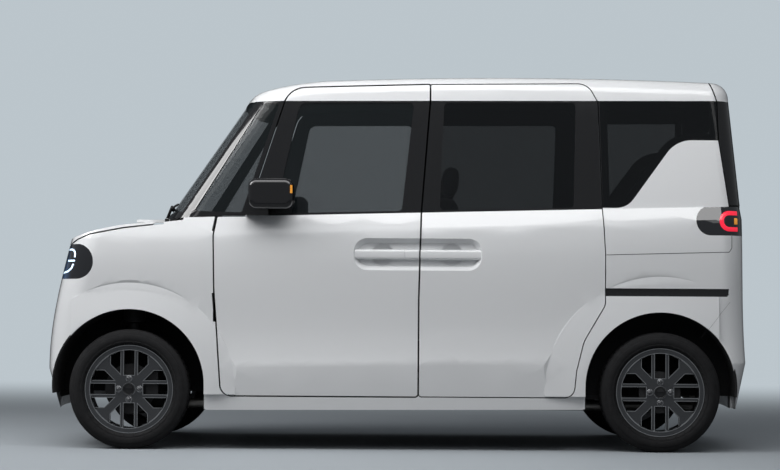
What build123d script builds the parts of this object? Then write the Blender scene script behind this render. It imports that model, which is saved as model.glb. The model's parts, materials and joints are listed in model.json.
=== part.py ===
"""A tall five-door kei wagon as separate panels on a platform, front towards -X, left side towards -Y."""
import math
import os
from collections import namedtuple

from build123d import *

os.makedirs("parts", exist_ok=True)

# Main sizes in millimetres, ground at z = 0
AXLE_FRONT = -1247.5
AXLE_REAR = 1247.5
TRACK_HALF = 645.0
TYRE_R = 281.0
TYRE_HALF_WIDTH = 82.0
RIM_FLANGE_R = 207.0
RIM_BARREL_R = 192.0
RIM_HALF_WIDTH = 64.0
HUB_BORE_R = 28.0
HUB_FACE = 40.0
BALL_HALF = 590.0
STRUT_HALF = 460.0

ARCH_R = 354.0
ARCH_RISE = 22.0
LINER_WALL = 8.0
FRONT_WELL_HALF = 395.0
REAR_WELL_HALF = 548.0
LIP_HALF = 737.5
FLARE_FRONT_R = 534.0
FLARE_REAR_R = 578.0

BELT_Z = 1116.0
BELT_SLOPE = 0.026
DLO_TOP_Z = 1653.0
DLO_TOP_SLOPE = 0.006
CABIN_HALF = 662.0
CABIN_FRONT = -985.0
CABIN_REAR = 1622.0
NOSE_HALF = 700.0
NOSE_FRONT = -1610.0
UPPER_WALL = 45.0
CROWN_R = 11500.0
ROOF_EDGE_R = 80.0

DOOR_GAP = 7.0
SLIDE_GAP = 5.0
GATE_GAP = 7.0
GLASS_OUT = 3.0
GLASS_IN = 8.0
FIT = 0.3
SEAM_DEPTH = 10.0
SEAM = 3.0

PLATE_PITCH = 210.0
PLATE_HOLE_R = 3.0
PLATE_FRONT_Z = 400.0
PLATE_FRONT_X = -1694.5
PLATE_REAR_Z = 860.0
PLATE_REAR_X = 1679.5
PLATE_FLAT_R = 14.0

PIN_R = 7.0
PIN_FIT = 0.05

HINGE_X = -740.0
HINGE_HALF = 700.0
HINGE_ROWS = [(470, 40), (860, 40)]
HINGE_SKIN = 716.0
ARM_IN = 590.0
SWEEP_R = 128.0
DOOR_FOOT_Z = 248.0

COWL_TOP = 1058.0

BALL_Z = 172.0
STRUT_TOP = 850.0

FLOOR_Z = 330.0
FLOOR_T = 26.0
LOAD_Z = 560.0
RAIL_IN = 318.0
RAIL_OUT = 380.0
EXHAUST_Z = 204.0

WHEEL_TILT = 25.0
WHEEL_X = -440.0
WHEEL_Y = 330.0
WHEEL_Z = 940.0
COLUMN_R = 20.0

HOOD_AXIS_X = -1085.0
HOOD_AXIS_Z = 1077.0
HOOD_ARM_Y = 600.0

GATE_AXIS_X = 1445.0
GATE_AXIS_Z = 1742.0
GATE_ARM_Y = 350.0

Level = namedtuple("Level", "z slope front rear half bow_front bow_rear r_front r_rear")
LOWER = [
    Level(192, 0.0067, -1640, 1650, 710, 80, 45, 150, 110),
    Level(395, 0.0150, -1697.5, 1697.5, 733, 90, 50, 160, 120),
    Level(505, 0.0180, -1696, 1692, 721, 90, 50, 160, 120),
    Level(790, 0.0250, -1655, 1684, 732, 90, 50, 160, 120),
    Level(1043, 0.0338, -1598, 1680, 734, 90, 50, 160, 120),
    Level(BELT_Z, BELT_SLOPE, -1570, 1672, 706, 90, 50, 150, 110),
]
UPPER = [
    Level(BELT_Z, BELT_SLOPE, -1144, 1672, 700, 105, 45, 150, 110),
    Level(1800, 0.0, -646, 1603, 626, 62, 35, 150, 100),
]

# Side-view outlines: x, z, corner radius
FRONT_DOOR = [
    (-703, 1094, 12), (-506, 1712, 105), (158, 1731, 4), (158, 1651, 30), (117, 1113, 30), (107, 708, 30),
    (107, 256, 12), (-812, 256, 52), (-848, 748, 200), (-853, 1006, 60), (-838, 1093, 6),
]
SLIDE_DOOR = [
    (166, 1731, 4), (905, 1740, 75), (955, 1650, 30), (971, 1141, 60), (984, 925, 60), (985, 690, 60),
    (885, 520, 160), (850, 380, 60), (838, 256, 48), (115, 256, 12), (115, 708, 30), (125, 1113, 30),
    (166, 1651, 30),
]
FRONT_DOOR_GLASS = [(-572, 1112, 18), (-458, 1640, 40), (84, 1644, 20), (28, 1127, 20)]
SLIDE_GLASS = [(208, 1132, 20), (228, 1645, 20), (852, 1649, 20), (840, 1148, 20)]
SCREEN = [(-1400, 1118, 0), (-1010, 1118, 0), (-667, 1645, 0), (-667, 1900, 0), (-1400, 1900, 0)]
FRONT_QUARTER = [(-952, 1122, 12), (-636, 1638, 12), (-556, 1638, 12), (-727, 1116, 12)]
REAR_QUARTER = [
    (977, 1148, 4), (1091, 1148, 100), (1327, 1473, 145), (1524, 1473, 12), (1521, 1900, 0), (958, 1900, 0),
]
GATE_LINE = [(1478, 1800), (1526, 1660), (1532, 1475), (1577, 1165), (1577, 1100)]
HOOD_LINE = [(-1800, 964), (-1540, 964), (-1500, 988), (-1440, 1012), (-1280, 1043), (-1080, 1066)]
LAMP_Z = (797, 962)
LAMP_END = -1420
LAMP_INNER = 430
TAIL_Z = (1020, 1160)
TAIL_END = 1413
TAIL_INNER = 575
BUMPER_SEAM = [(-1466, 797), (-1453, 777), (-1400, 655), (-1330, 500)]
REAR_SEAM = [(1440, 540), (1583, 717)]


def belt(x):
    return BELT_Z + BELT_SLOPE * x


def tilted(z, slope):
    angle = math.atan(slope)
    return Plane(
        origin=(0, 0, z),
        x_dir=(math.cos(angle), 0, math.sin(angle)),
        z_dir=(-math.sin(angle), 0, math.cos(angle)),
    )


def outline(level, inset=0.0):
    """Plan outline of the body at one height, pulled in all round by the inset."""
    front = level.front + inset
    rear = level.rear - inset
    half = level.half - inset
    side_bow = 8.0
    middle = (front + rear) / 2
    with BuildSketch(tilted(level.z, level.slope)) as plan:
        with BuildLine():
            ThreePointArc((front + level.bow_front, side_bow - half), (middle, -half),
                          (rear - level.bow_rear, side_bow - half))
            ThreePointArc((rear - level.bow_rear, side_bow - half), (rear, 0),
                          (rear - level.bow_rear, half - side_bow))
            ThreePointArc((rear - level.bow_rear, half - side_bow), (middle, half),
                          (front + level.bow_front, half - side_bow))
            ThreePointArc((front + level.bow_front, half - side_bow), (front, 0),
                          (front + level.bow_front, side_bow - half))
        make_face()
        fillet(plan.vertices().group_by(Axis.X)[0], max(level.r_front - inset, 20))
        fillet(plan.vertices().group_by(Axis.X)[-1], max(level.r_rear - inset, 20))
    return plan.sketch


def rounded_path(points):
    """Closed path of lines with an arc of the given radius at each corner."""
    legs = []
    count = len(points)
    for i, (x, z, radius) in enumerate(points):
        before = Vector(*points[i - 1][:2]) - Vector(x, z)
        after = Vector(*points[(i + 1) % count][:2]) - Vector(x, z)
        corner = Vector(x, z)
        if radius <= 0:
            legs.append((corner, None, corner))
            continue
        half_angle = math.radians(before.get_angle(after)) / 2
        reach = radius / math.tan(half_angle)
        start = corner + before.normalized() * reach
        end = corner + after.normalized() * reach
        inward = (before.normalized() + after.normalized()).normalized()
        middle = corner + inward * (radius / math.sin(half_angle) - radius)
        legs.append((start, middle, end))
    for i, (start, middle, end) in enumerate(legs):
        if middle is not None:
            ThreePointArc(start, middle, end)
        following = legs[(i + 1) % count][0]
        Line(end, following)


def side_prism(points, grow=0.0, reach=1000.0):
    """Side-view outline carried right across the car."""
    with BuildPart() as solid:
        with BuildSketch(Plane.XZ):
            with BuildLine():
                rounded_path([(*p, 0)[:3] for p in points])
            make_face()
            if grow:
                offset(amount=grow)
        extrude(amount=reach, both=True)
    return solid.part


def block(x0, x1, y0, y1, z0, z1):
    with BuildPart() as solid:
        with Locations(((x0 + x1) / 2, (y0 + y1) / 2, (z0 + z1) / 2)):
            Box(abs(x1 - x0), abs(y1 - y0), abs(z1 - z0))
    return solid.part


def lower_solid(inset=0.0):
    plans = [outline(level, inset) for level in LOWER]
    with BuildPart() as solid:
        loft(plans[0:2], ruled=True)
        loft(plans[1:5])
        loft(plans[4:6], ruled=True)
    return solid.part


def above_roof(drop=0.0):
    """Everything above the roof line, crowned across the car."""
    with BuildPart() as solid:
        with BuildSketch(Plane.XZ):
            with BuildLine():
                Polyline((1700, 1760 - drop), (1700, 2000), (-1000, 2000), (-1000, 1608 - drop),
                         (-640, 1712 - drop))
                ThreePointArc((-640, 1712 - drop), (-470, 1750.5 - drop), (-300, 1768 - drop))
                ThreePointArc((-300, 1768 - drop), (650, 1787 - drop), (1700, 1760 - drop))
            make_face()
        revolve(axis=Axis((0, 0, 1787 - CROWN_R), (1, 0, 0)), revolution_arc=5)
        mirror(about=Plane.XZ)
    return solid.part


def upper_solid(inset=0.0):
    plans = [outline(level, inset) for level in UPPER]
    roof_cut = above_roof(inset)
    with BuildPart() as solid:
        loft(plans, ruled=True)
        add(roof_cut, mode=Mode.SUBTRACT)
    return solid.part


def above_hood():
    """Everything above the hood, crowned across the car."""
    with BuildPart() as solid:
        with BuildSketch(Plane.XZ):
            with BuildLine():
                ThreePointArc((-1640, 955), (-1440, 1041), (-1130, 1085))
                Polyline((-1130, 1085), (-1000, 1100), (-1000, 1300), (-1800, 1300), (-1800, 860),
                         (-1640, 955))
            make_face()
        revolve(axis=Axis((0, 0, 1085 - CROWN_R), (1, 0, 0)), revolution_arc=5)
        mirror(about=Plane.XZ)
    return solid.part


def ring(axle_x, axle_z, points):
    """Ring turned about a wheel axis from radius and distance-from-centre points, both sides of the car."""
    with BuildPart() as solid:
        with BuildSketch(Plane.XY):
            with BuildLine():
                Polyline(*[(axle_x + r, y) for r, y in points], close=True)
            make_face()
        revolve(axis=Axis((axle_x, 0, 0), (0, 1, 0)))
        mirror(about=Plane.XZ)
    return solid.part.moved(Location((0, 0, axle_z)))


def wheel_slot(axle_x, radius, inner, outer):
    """Arch opening: round above the wheel and straight below, from inner to outer half-width, both sides."""
    with BuildPart() as solid:
        with BuildSketch(Plane.XZ.offset(inner)):
            with Locations((axle_x, TYRE_R + ARCH_RISE)):
                Circle(radius)
            with Locations((axle_x, (TYRE_R + ARCH_RISE) / 2)):
                Rectangle(2 * radius, TYRE_R + ARCH_RISE)
        extrude(amount=outer - inner)
        mirror(about=Plane.XZ)
    return solid.part


# Outer body below the belt, with crowned hood and flared arches
FLARES = [(AXLE_FRONT, FLARE_FRONT_R), (AXLE_REAR, FLARE_REAR_R)]
with BuildPart() as lower:
    add(lower_solid())
    add(above_hood(), mode=Mode.SUBTRACT)
    for axle_x, crease_r in FLARES:
        flare = ring(axle_x, TYRE_R, [
            (ARCH_R - 40, 600), (ARCH_R - 40, LIP_HALF), (ARCH_R + 24, LIP_HALF),
            (crease_r - 34, 722), (crease_r - 34, 600)])
        channel = ring(axle_x, TYRE_R, [
            (ARCH_R + 24, LIP_HALF), (crease_r - 34, 724), (crease_r, LIP_HALF + 1),
            (crease_r, 800), (ARCH_R + 24, 800)])
        add(flare & block(-1520, 1520, -760, 760, 260, 760))
        add(channel, mode=Mode.SUBTRACT)

with BuildPart() as upper:
    add(upper_solid())
    roof_edges = [e for e in upper.edges() if min(v.Z for v in e.vertices()) > 1640]
    rim_edges = [e for e in roof_edges if e.geom_type != GeomType.CIRCLE]
    fillet(rim_edges, ROOF_EDGE_R)

# Hollow spaces
CABIN_FLOOR = Level(170, 0.0, CABIN_FRONT, CABIN_REAR, CABIN_HALF, 0.5, 40, 30, 90)
CABIN_TOP = Level(BELT_Z, BELT_SLOPE, CABIN_FRONT, CABIN_REAR, CABIN_HALF, 0.5, 40, 30, 90)
NOSE_FLOOR = Level(170, 0.0, NOSE_FRONT - 30, CABIN_FRONT + 20, NOSE_HALF, 80, 0.5, 120, 10)
NOSE_TOP = Level(1130, 0.0, NOSE_FRONT + 60, CABIN_FRONT + 20, NOSE_HALF - 18, 80, 0.5, 120, 10)
with BuildPart() as hollow:
    loft([outline(CABIN_FLOOR), outline(CABIN_TOP)], ruled=True)
    loft([outline(NOSE_FLOOR), outline(NOSE_TOP)], ruled=True)
upper_void = upper_solid(UPPER_WALL)
arch_cuts = [wheel_slot(x, ARCH_R, 0, 800) for x in (AXLE_FRONT, AXLE_REAR)]
well_r = ARCH_R + LINER_WALL + FIT
well_cuts = [
    wheel_slot(AXLE_FRONT, well_r, FRONT_WELL_HALF - LINER_WALL - FIT, LIP_HALF - 30 + FIT),
    wheel_slot(AXLE_REAR, well_r, REAR_WELL_HALF - LINER_WALL - FIT, LIP_HALF - 30 + FIT),
]

with BuildPart() as lower_wall:
    add(lower.part)
    add(hollow.part, mode=Mode.SUBTRACT)
    for cut in arch_cuts:
        add(cut & block(-1700, 1700, -800, 800, 0, 900), mode=Mode.SUBTRACT)
    for cut in well_cuts:
        add(cut, mode=Mode.SUBTRACT)

with BuildPart() as upper_wall:
    add(upper.part)
    add(upper_void, mode=Mode.SUBTRACT)

dlo_band = side_prism([
    (-1500, BELT_Z - 1500 * BELT_SLOPE - 40), (1900, BELT_Z + 1900 * BELT_SLOPE - 40),
    (1900, DLO_TOP_Z + 1900 * DLO_TOP_SLOPE), (-1500, DLO_TOP_Z - 1500 * DLO_TOP_SLOPE)])
front_door_open = side_prism(FRONT_DOOR, DOOR_GAP)
slide_door_open = side_prism(SLIDE_DOOR, SLIDE_GAP)
front_door_region = side_prism(FRONT_DOOR)
slide_door_region = side_prism(SLIDE_DOOR)
front_door_hole = side_prism(FRONT_DOOR_GLASS)
slide_hole = side_prism(SLIDE_GLASS)
gate_side = side_prism(GATE_LINE + [(1900, 1100), (1900, 1800)])
gate_side_open = side_prism([(x - GATE_GAP, z) for x, z in GATE_LINE] + [(1900, 1100), (1900, 1800)])
hood_region = side_prism(HOOD_LINE + [(-1080, 1400), (-1800, 1400)])
hood_open = side_prism(HOOD_LINE + [(-1080, 1400), (-1800, 1400)], DOOR_GAP)
glass_layer = upper_solid(GLASS_OUT) - upper_solid(GLASS_IN)
behind_glass = upper_solid(GLASS_IN + FIT)


roof_middle = block(-2000, 2000, -572, 572, 1600, 1900)


def rear_block(grow, z0, z1):
    return block(1480, 1800, -TAIL_INNER - grow, TAIL_INNER + grow, z0 - grow, z1 + grow)


# Front doors, one set for each side
door_shell = (lower_wall.part & front_door_region) + (
    (upper_wall.part & front_door_region) - dlo_band - roof_middle)
sash_shell = (upper_wall.part & front_door_region & dlo_band) - front_door_hole
door_pane = glass_layer & side_prism(FRONT_DOOR_GLASS, -FIT)
LEFT_HALF = block(-2000, 2000, -1000, 0, 0, 2000)
RIGHT_HALF = block(-2000, 2000, 0, 1000, 0, 2000)


def hinge_pocket(side):
    """Room in the door's front inner corner for the two body arms."""
    with BuildPart() as solid:
        for z, tall in HINGE_ROWS:
            add(block(-900, HINGE_X + 16, side * 560, side * HINGE_SKIN, z - tall / 2 - 5, z + tall / 2 + 5))
    return solid.part


def hinge_pins(side):
    with BuildPart() as solid:
        for z, tall in HINGE_ROWS:
            with Locations((HINGE_X, side * HINGE_HALF, z)):
                Cylinder(PIN_R, tall + 40)
    return solid.part


def hinge_arms(side):
    """Arms from the front pillar round the inside of the door edge to the pins."""
    with BuildPart() as solid:
        for z, tall in HINGE_ROWS:
            with Locations((HINGE_X, side * HINGE_HALF, z)):
                Cylinder(13, tall)
            add(block(HINGE_X - 9, HINGE_X + 9, side * ARM_IN, side * HINGE_HALF, z - tall / 2, z + tall / 2))
            add(block(CABIN_FRONT + 82, HINGE_X + 9, side * ARM_IN, side * (ARM_IN + 16),
                      z - tall / 2, z + tall / 2))
            add(block(CABIN_FRONT + 82, CABIN_FRONT + 116, side * ARM_IN, side * 670,
                      z - tall / 2, z + tall / 2))
        for z, tall in HINGE_ROWS:
            with Locations((HINGE_X, side * HINGE_HALF, z)):
                Cylinder(PIN_R + PIN_FIT, tall + 2, mode=Mode.SUBTRACT)
    return solid.part


with BuildPart() as front_door_l:
    add(door_shell & LEFT_HALF)
    add(hinge_pocket(-1), mode=Mode.SUBTRACT)
    add(hinge_pins(-1))
front_door_l.part.label = "front_door_l"
with BuildPart() as front_door_r:
    add(door_shell & RIGHT_HALF)
    add(hinge_pocket(1), mode=Mode.SUBTRACT)
    add(hinge_pins(1))
front_door_r.part.label = "front_door_r"
with BuildPart() as front_sash_l:
    add(sash_shell & LEFT_HALF)
front_sash_l.part.label = "front_sash_l"
with BuildPart() as front_sash_r:
    add(sash_shell & RIGHT_HALF)
front_sash_r.part.label = "front_sash_r"
with BuildPart() as front_glass_l:
    add(door_pane & LEFT_HALF)
front_glass_l.part.label = "front_glass_l"
with BuildPart() as front_glass_r:
    add(door_pane & RIGHT_HALF)
front_glass_r.part.label = "front_glass_r"

# Door mirrors on the belt corner of each front door
def mirror_head(side):
    with BuildPart() as solid:
        with Locations((-580, side * 800, 1198)):
            Box(210, 150, 140)
        fillet(solid.edges().filter_by(Axis.Y), 40)
        fillet(solid.faces().sort_by(Axis.Y)[-1].edges() + solid.faces().sort_by(Axis.Y)[0].edges(), 25)
        with Locations((-650, side * 745, 1128)):
            Box(110, 110, 60)
        add(upper.part, mode=Mode.SUBTRACT)
        add(lower.part, mode=Mode.SUBTRACT)
    return solid.part


with BuildPart() as mirror_l:
    add(mirror_head(-1))
mirror_l.part.label = "mirror_l"
with BuildPart() as mirror_r:
    add(mirror_head(1))
mirror_r.part.label = "mirror_r"

# Sliding doors, both sides in one piece list
with BuildPart() as sliding_doors:
    add(lower_wall.part & slide_door_region)
    add((upper_wall.part & slide_door_region) - dlo_band - roof_middle)
sliding_doors.part.label = "sliding_doors"

# Hood
with BuildPart() as rear_of_hood:
    with BuildSketch():
        with BuildLine():
            ThreePointArc((-1118, -760), (-1222, 0), (-1118, 760))
            Polyline((-1118, 760), (-900, 760), (-900, -760), (-1118, -760))
        make_face()
    extrude(amount=1400)
with BuildPart() as hood:
    add(lower.part & hood_region)
    add(rear_of_hood.part, mode=Mode.SUBTRACT)
hood.part.label = "hood"

def plate_bolts(seat_x, side, z):
    """Two plate bolt holes, with a small flat round each for the plate to seat on."""
    with BuildPart() as solid:
        with Locations((seat_x, PLATE_PITCH / 2, z), (seat_x, -PLATE_PITCH / 2, z)):
            Cylinder(PLATE_HOLE_R, 220, rotation=(0, 90, 0))
        with Locations((seat_x + side * 50, PLATE_PITCH / 2, z), (seat_x + side * 50, -PLATE_PITCH / 2, z)):
            Cylinder(PLATE_FLAT_R, 100, rotation=(0, 90, 0))
    return solid.part


# Nose panels
lamp_region = side_prism([
    (-1800, LAMP_Z[0], 0), (LAMP_END, LAMP_Z[0], 81), (LAMP_END, LAMP_Z[1], 81), (-1800, LAMP_Z[1], 0)])
lamp_inner = lower_solid(55)
bumper_region = side_prism([(-1800, LAMP_Z[0])] + BUMPER_SEAM + [(-1330, 100), (-1800, 100)])
mid_block = block(-1800, -1400, -LAMP_INNER, LAMP_INNER, LAMP_Z[0], LAMP_Z[1])
nose_layer = lower.part - lamp_inner
with BuildPart() as headlamps:
    add((nose_layer & lamp_region) - mid_block)
    add(hood_open, mode=Mode.SUBTRACT)
headlamps.part.label = "headlamps"
with BuildPart() as grille:
    add((lower_solid(12) - lower_solid(50)) & mid_block)
    add(hood_open, mode=Mode.SUBTRACT)
grille.part.label = "grille"
with BuildPart() as front_bumper:
    add(lower_wall.part & bumper_region)
    add(lamp_region, mode=Mode.SUBTRACT)
    add(plate_bolts(PLATE_FRONT_X, -1, PLATE_FRONT_Z), mode=Mode.SUBTRACT)
front_bumper.part.label = "front_bumper"
with BuildPart() as fenders:
    add(lower_wall.part & block(-1700, CABIN_FRONT + 160, -800, 800, 150, 1200))
    add(bumper_region, mode=Mode.SUBTRACT)
    add(lamp_region, mode=Mode.SUBTRACT)
    add(mid_block, mode=Mode.SUBTRACT)
    add(hood_open & block(-1800, -1090, -800, 800, 900, 1400), mode=Mode.SUBTRACT)
    add(front_door_open, mode=Mode.SUBTRACT)
    add(block(CABIN_FRONT + 130, -600, -800, 800, 0, 900), mode=Mode.SUBTRACT)
    door_rebate = side_prism(FRONT_DOOR, 2 * DOOR_GAP, 727) & block(-900, -800, -800, 800, 620, 1200)
    add(door_rebate, mode=Mode.SUBTRACT)
    add(block(-1700, -1585, -600, 600, 700, 1200), mode=Mode.SUBTRACT)
fenders.part.label = "fenders"

# Roof, window frames and glass
roof_cut_doors = front_door_open + slide_door_open
with BuildPart() as roof:
    add(upper_wall.part - dlo_band)
    add(roof_cut_doors - block(-2000, 2000, -565, 565, 1500, 1900), mode=Mode.SUBTRACT)
    add(gate_side_open, mode=Mode.SUBTRACT)
roof.part.label = "roof"

fin_region = side_prism([
    (900, 1000), (900, 1148), (1091, 1148, 100), (1327, 1473, 145), (1600, 1473), (1700, 1000)])
with BuildPart() as window_frames:
    add((upper_wall.part & dlo_band) - gate_side_open)
    add(front_door_open, mode=Mode.SUBTRACT)
    add(slide_door_open, mode=Mode.SUBTRACT)
    add(side_prism(SCREEN), mode=Mode.SUBTRACT)
    add(side_prism(FRONT_QUARTER), mode=Mode.SUBTRACT)
    add(side_prism(REAR_QUARTER) - behind_glass, mode=Mode.SUBTRACT)
    add(side_prism(REAR_QUARTER, -34), mode=Mode.SUBTRACT)
    add(fin_region, mode=Mode.SUBTRACT)
    add((upper_wall.part & slide_door_region & dlo_band) - slide_hole)
window_frames.part.label = "window_frames"
with BuildPart() as front_glass:
    add(glass_layer & side_prism(SCREEN, -FIT) & dlo_band)
    add(glass_layer & side_prism(FRONT_QUARTER, -FIT))
front_glass.part.label = "front_glass"
with BuildPart() as privacy_glass:
    add(glass_layer & side_prism(SLIDE_GLASS, -FIT))
    add((upper_solid(0.5) - upper_solid(GLASS_IN)) & side_prism(REAR_QUARTER, -FIT) & dlo_band)
privacy_glass.part.label = "privacy_glass"

# Tail
tail_region = side_prism([
    (1900, TAIL_Z[0], 0), (TAIL_END, TAIL_Z[0], 69), (TAIL_END, TAIL_Z[1], 69), (1900, TAIL_Z[1], 0)])
rear_bumper_region = side_prism(REAR_SEAM + [(1900, 717), (1900, 100), (1440, 100)])
with BuildPart() as tail_lamps:
    add((lower.part - lamp_inner) & tail_region)
    add(rear_block(GATE_GAP, 700, 1300), mode=Mode.SUBTRACT)
tail_lamps.part.label = "tail_lamps"
with BuildPart() as tailgate:
    add(lower_wall.part & rear_block(0, 717 + GATE_GAP, 1300))
    add((upper_wall.part & gate_side) - dlo_band)
    add(plate_bolts(PLATE_REAR_X, 1, PLATE_REAR_Z), mode=Mode.SUBTRACT)
tailgate.part.label = "tailgate"
gate_hole = block(1480, 1900, -545, 545, 1210, 1590)
step_gap = block(1480, 1900, -900, 900, 1100, belt(1650) + GATE_GAP) - rear_block(0, 700, 1300)
with BuildPart() as tailgate_frame:
    add((upper_wall.part & gate_side & dlo_band) - step_gap)
    add(gate_hole, mode=Mode.SUBTRACT)
tailgate_frame.part.label = "tailgate_frame"
with BuildPart() as tailgate_glass:
    add(glass_layer & block(1480, 1900, -545 + FIT, 545 - FIT, 1210 + FIT, 1590 - FIT))
tailgate_glass.part.label = "tailgate_glass"
with BuildPart() as rear_bumper:
    add(lower_wall.part & rear_bumper_region)
rear_bumper.part.label = "rear_bumper"
with BuildPart() as body_sides:
    add(lower_wall.part & block(-870, 1700, -800, 800, 150, 1300))
    add(front_door_open, mode=Mode.SUBTRACT)
    add(slide_door_open, mode=Mode.SUBTRACT)
    add(rear_bumper_region, mode=Mode.SUBTRACT)
    add(tail_region, mode=Mode.SUBTRACT)
    add(rear_block(GATE_GAP, 717, 1300), mode=Mode.SUBTRACT)
    add(block(-870, -700, -800, 800, 600, 1300), mode=Mode.SUBTRACT)
    add((upper_wall.part & fin_region) - gate_side_open - slide_door_open)
    add(fenders.part, mode=Mode.SUBTRACT)
body_sides.part.label = "body_sides"

# Cowl between hood and windscreen
with BuildPart() as cowl:
    with BuildSketch(Plane.XY.offset(COWL_TOP - 26)):
        with BuildLine():
            ThreePointArc((-1106, -675), (-1208, 0), (-1106, 675))
            Polyline((-1106, 675), (CABIN_FRONT + 1, 675), (CABIN_FRONT + 1, -675), (-1106, -675))
        make_face()
    extrude(amount=26)
cowl.part.label = "cowl"

# Black liners in the four wheel arches
def liner(axle_x, inner, outer):
    with BuildPart() as solid:
        with BuildSketch(Plane.XZ.offset(inner - LINER_WALL)):
            with Locations((axle_x, TYRE_R + ARCH_RISE)):
                Circle(ARCH_R + LINER_WALL)
        extrude(amount=outer - inner + LINER_WALL)
        with BuildSketch(Plane.XZ.offset(inner)):
            with Locations((axle_x, TYRE_R + ARCH_RISE)):
                Circle(ARCH_R)
        extrude(amount=outer, mode=Mode.SUBTRACT)
        with Locations((axle_x, 0, 0)):
            Box(1000, 2000, 2 * (TYRE_R - 20), mode=Mode.SUBTRACT)
    return solid.part


with BuildPart() as arch_liners:
    add(liner(AXLE_FRONT, FRONT_WELL_HALF, LIP_HALF - 30))
    with Locations((AXLE_FRONT, -500, 640)):
        Cylinder(88, 200, mode=Mode.SUBTRACT)
    add(liner(AXLE_REAR, REAR_WELL_HALF, LIP_HALF - 30))
    with Locations((AXLE_REAR, -REAR_WELL_HALF, TYRE_R)):
        Cylinder(75, 100, rotation=(90, 0, 0), mode=Mode.SUBTRACT)
    mirror(about=Plane.XZ)
arch_liners.part.label = "arch_liners"

# Platform: floor, firewall, rails, strut towers and crossbeams
STRUT_LENGTH = math.hypot(BALL_HALF - STRUT_HALF, STRUT_TOP - BALL_Z)


def steer_plane(side):
    """Plane at the lower ball pin whose normal is the leaning steering axis."""
    return Plane(origin=(AXLE_FRONT, side * BALL_HALF, BALL_Z), x_dir=(1, 0, 0),
                 z_dir=(0, side * (STRUT_HALF - BALL_HALF), STRUT_TOP - BALL_Z))


def on_steer_axis(side, start, length, radius):
    with BuildPart() as solid:
        with BuildSketch(steer_plane(side).offset(start)):
            Circle(radius)
        extrude(amount=length)
    return solid.part


with BuildPart() as platform:
    with BuildSketch(Plane.XZ):
        with BuildLine():
            Polyline((CABIN_FRONT + 1, FLOOR_Z - FLOOR_T), (760, FLOOR_Z - FLOOR_T), (880, LOAD_Z - FLOOR_T),
                     (CABIN_REAR - 45, LOAD_Z - FLOOR_T), (CABIN_REAR - 45, LOAD_Z), (868, LOAD_Z),
                     (748, FLOOR_Z), (CABIN_FRONT + 30, FLOOR_Z), (CABIN_FRONT + 30, 1050),
                     (CABIN_FRONT + 1, 1050), close=True)
        make_face()
    extrude(amount=CABIN_HALF - 16, both=True)
    for cut in well_cuts:
        add(cut, mode=Mode.SUBTRACT)
    for side in (-1, 1):
        add(block(NOSE_FRONT + 70, CABIN_FRONT + 2, side * RAIL_IN, side * RAIL_OUT, 400, 500))
        add(block(AXLE_FRONT - 70, AXLE_FRONT + 70, side * RAIL_OUT - side * 2, side * 690,
                  STRUT_TOP, STRUT_TOP + 22))
        add(block(AXLE_FRONT - 70, AXLE_FRONT + 70, side * RAIL_IN, side * RAIL_OUT, 480, STRUT_TOP + 22))
        add(block(900, CABIN_REAR - 60, side * 420, side * 480, LOAD_Z - 96, LOAD_Z - FLOOR_T + 1))
        add(block(-800, 840, side * 600, side * 640, 200, FLOOR_Z - FLOOR_T + 2))
        add(block(-800, 840, side * 620, side * 675, 200, 240))
    add(block(NOSE_FRONT + 30, NOSE_FRONT + 72, -RAIL_OUT, RAIL_OUT, 390, 510))
    add(lower_wall.part, mode=Mode.SUBTRACT)
    add(block(CABIN_REAR - 60, CABIN_REAR - 46, -530, 530, 380, LOAD_Z))
    for side in (-1, 1):
        with BuildSketch(steer_plane(side).offset(STRUT_LENGTH - 60)):
            Circle(15 + PIN_FIT)
        extrude(amount=140, mode=Mode.SUBTRACT)
        with Locations((HINGE_X, side * HINGE_HALF, DOOR_FOOT_Z + 450)):
            Cylinder(SWEEP_R, 900, mode=Mode.SUBTRACT)
platform.part.label = "platform"

# Front subframe with lower arms and ball pins
with BuildPart() as subframe:
    add(block(AXLE_FRONT + 20, AXLE_FRONT + 140, -320, 320, 190, 240))
    for side in (-1, 1):
        add(block(AXLE_FRONT + 30, AXLE_FRONT + 130, side * RAIL_IN, side * RAIL_OUT, 190, 400))
        with BuildSketch(Plane.XY.offset(BALL_Z - 12)):
            Polygon((AXLE_FRONT - 60, side * 300), (AXLE_FRONT + 140, side * 300),
                    (AXLE_FRONT + 25, side * BALL_HALF),
                    (AXLE_FRONT - 25, side * BALL_HALF), align=None)
        extrude(amount=20)
        add(block(AXLE_FRONT + 25, AXLE_FRONT + 138, side * 300, side * 320, BALL_Z - 12, 200))
        add(on_steer_axis(side, -12, 22, 24))
        add(on_steer_axis(side, 0, 58, 10))
subframe.part.label = "subframe"

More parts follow.
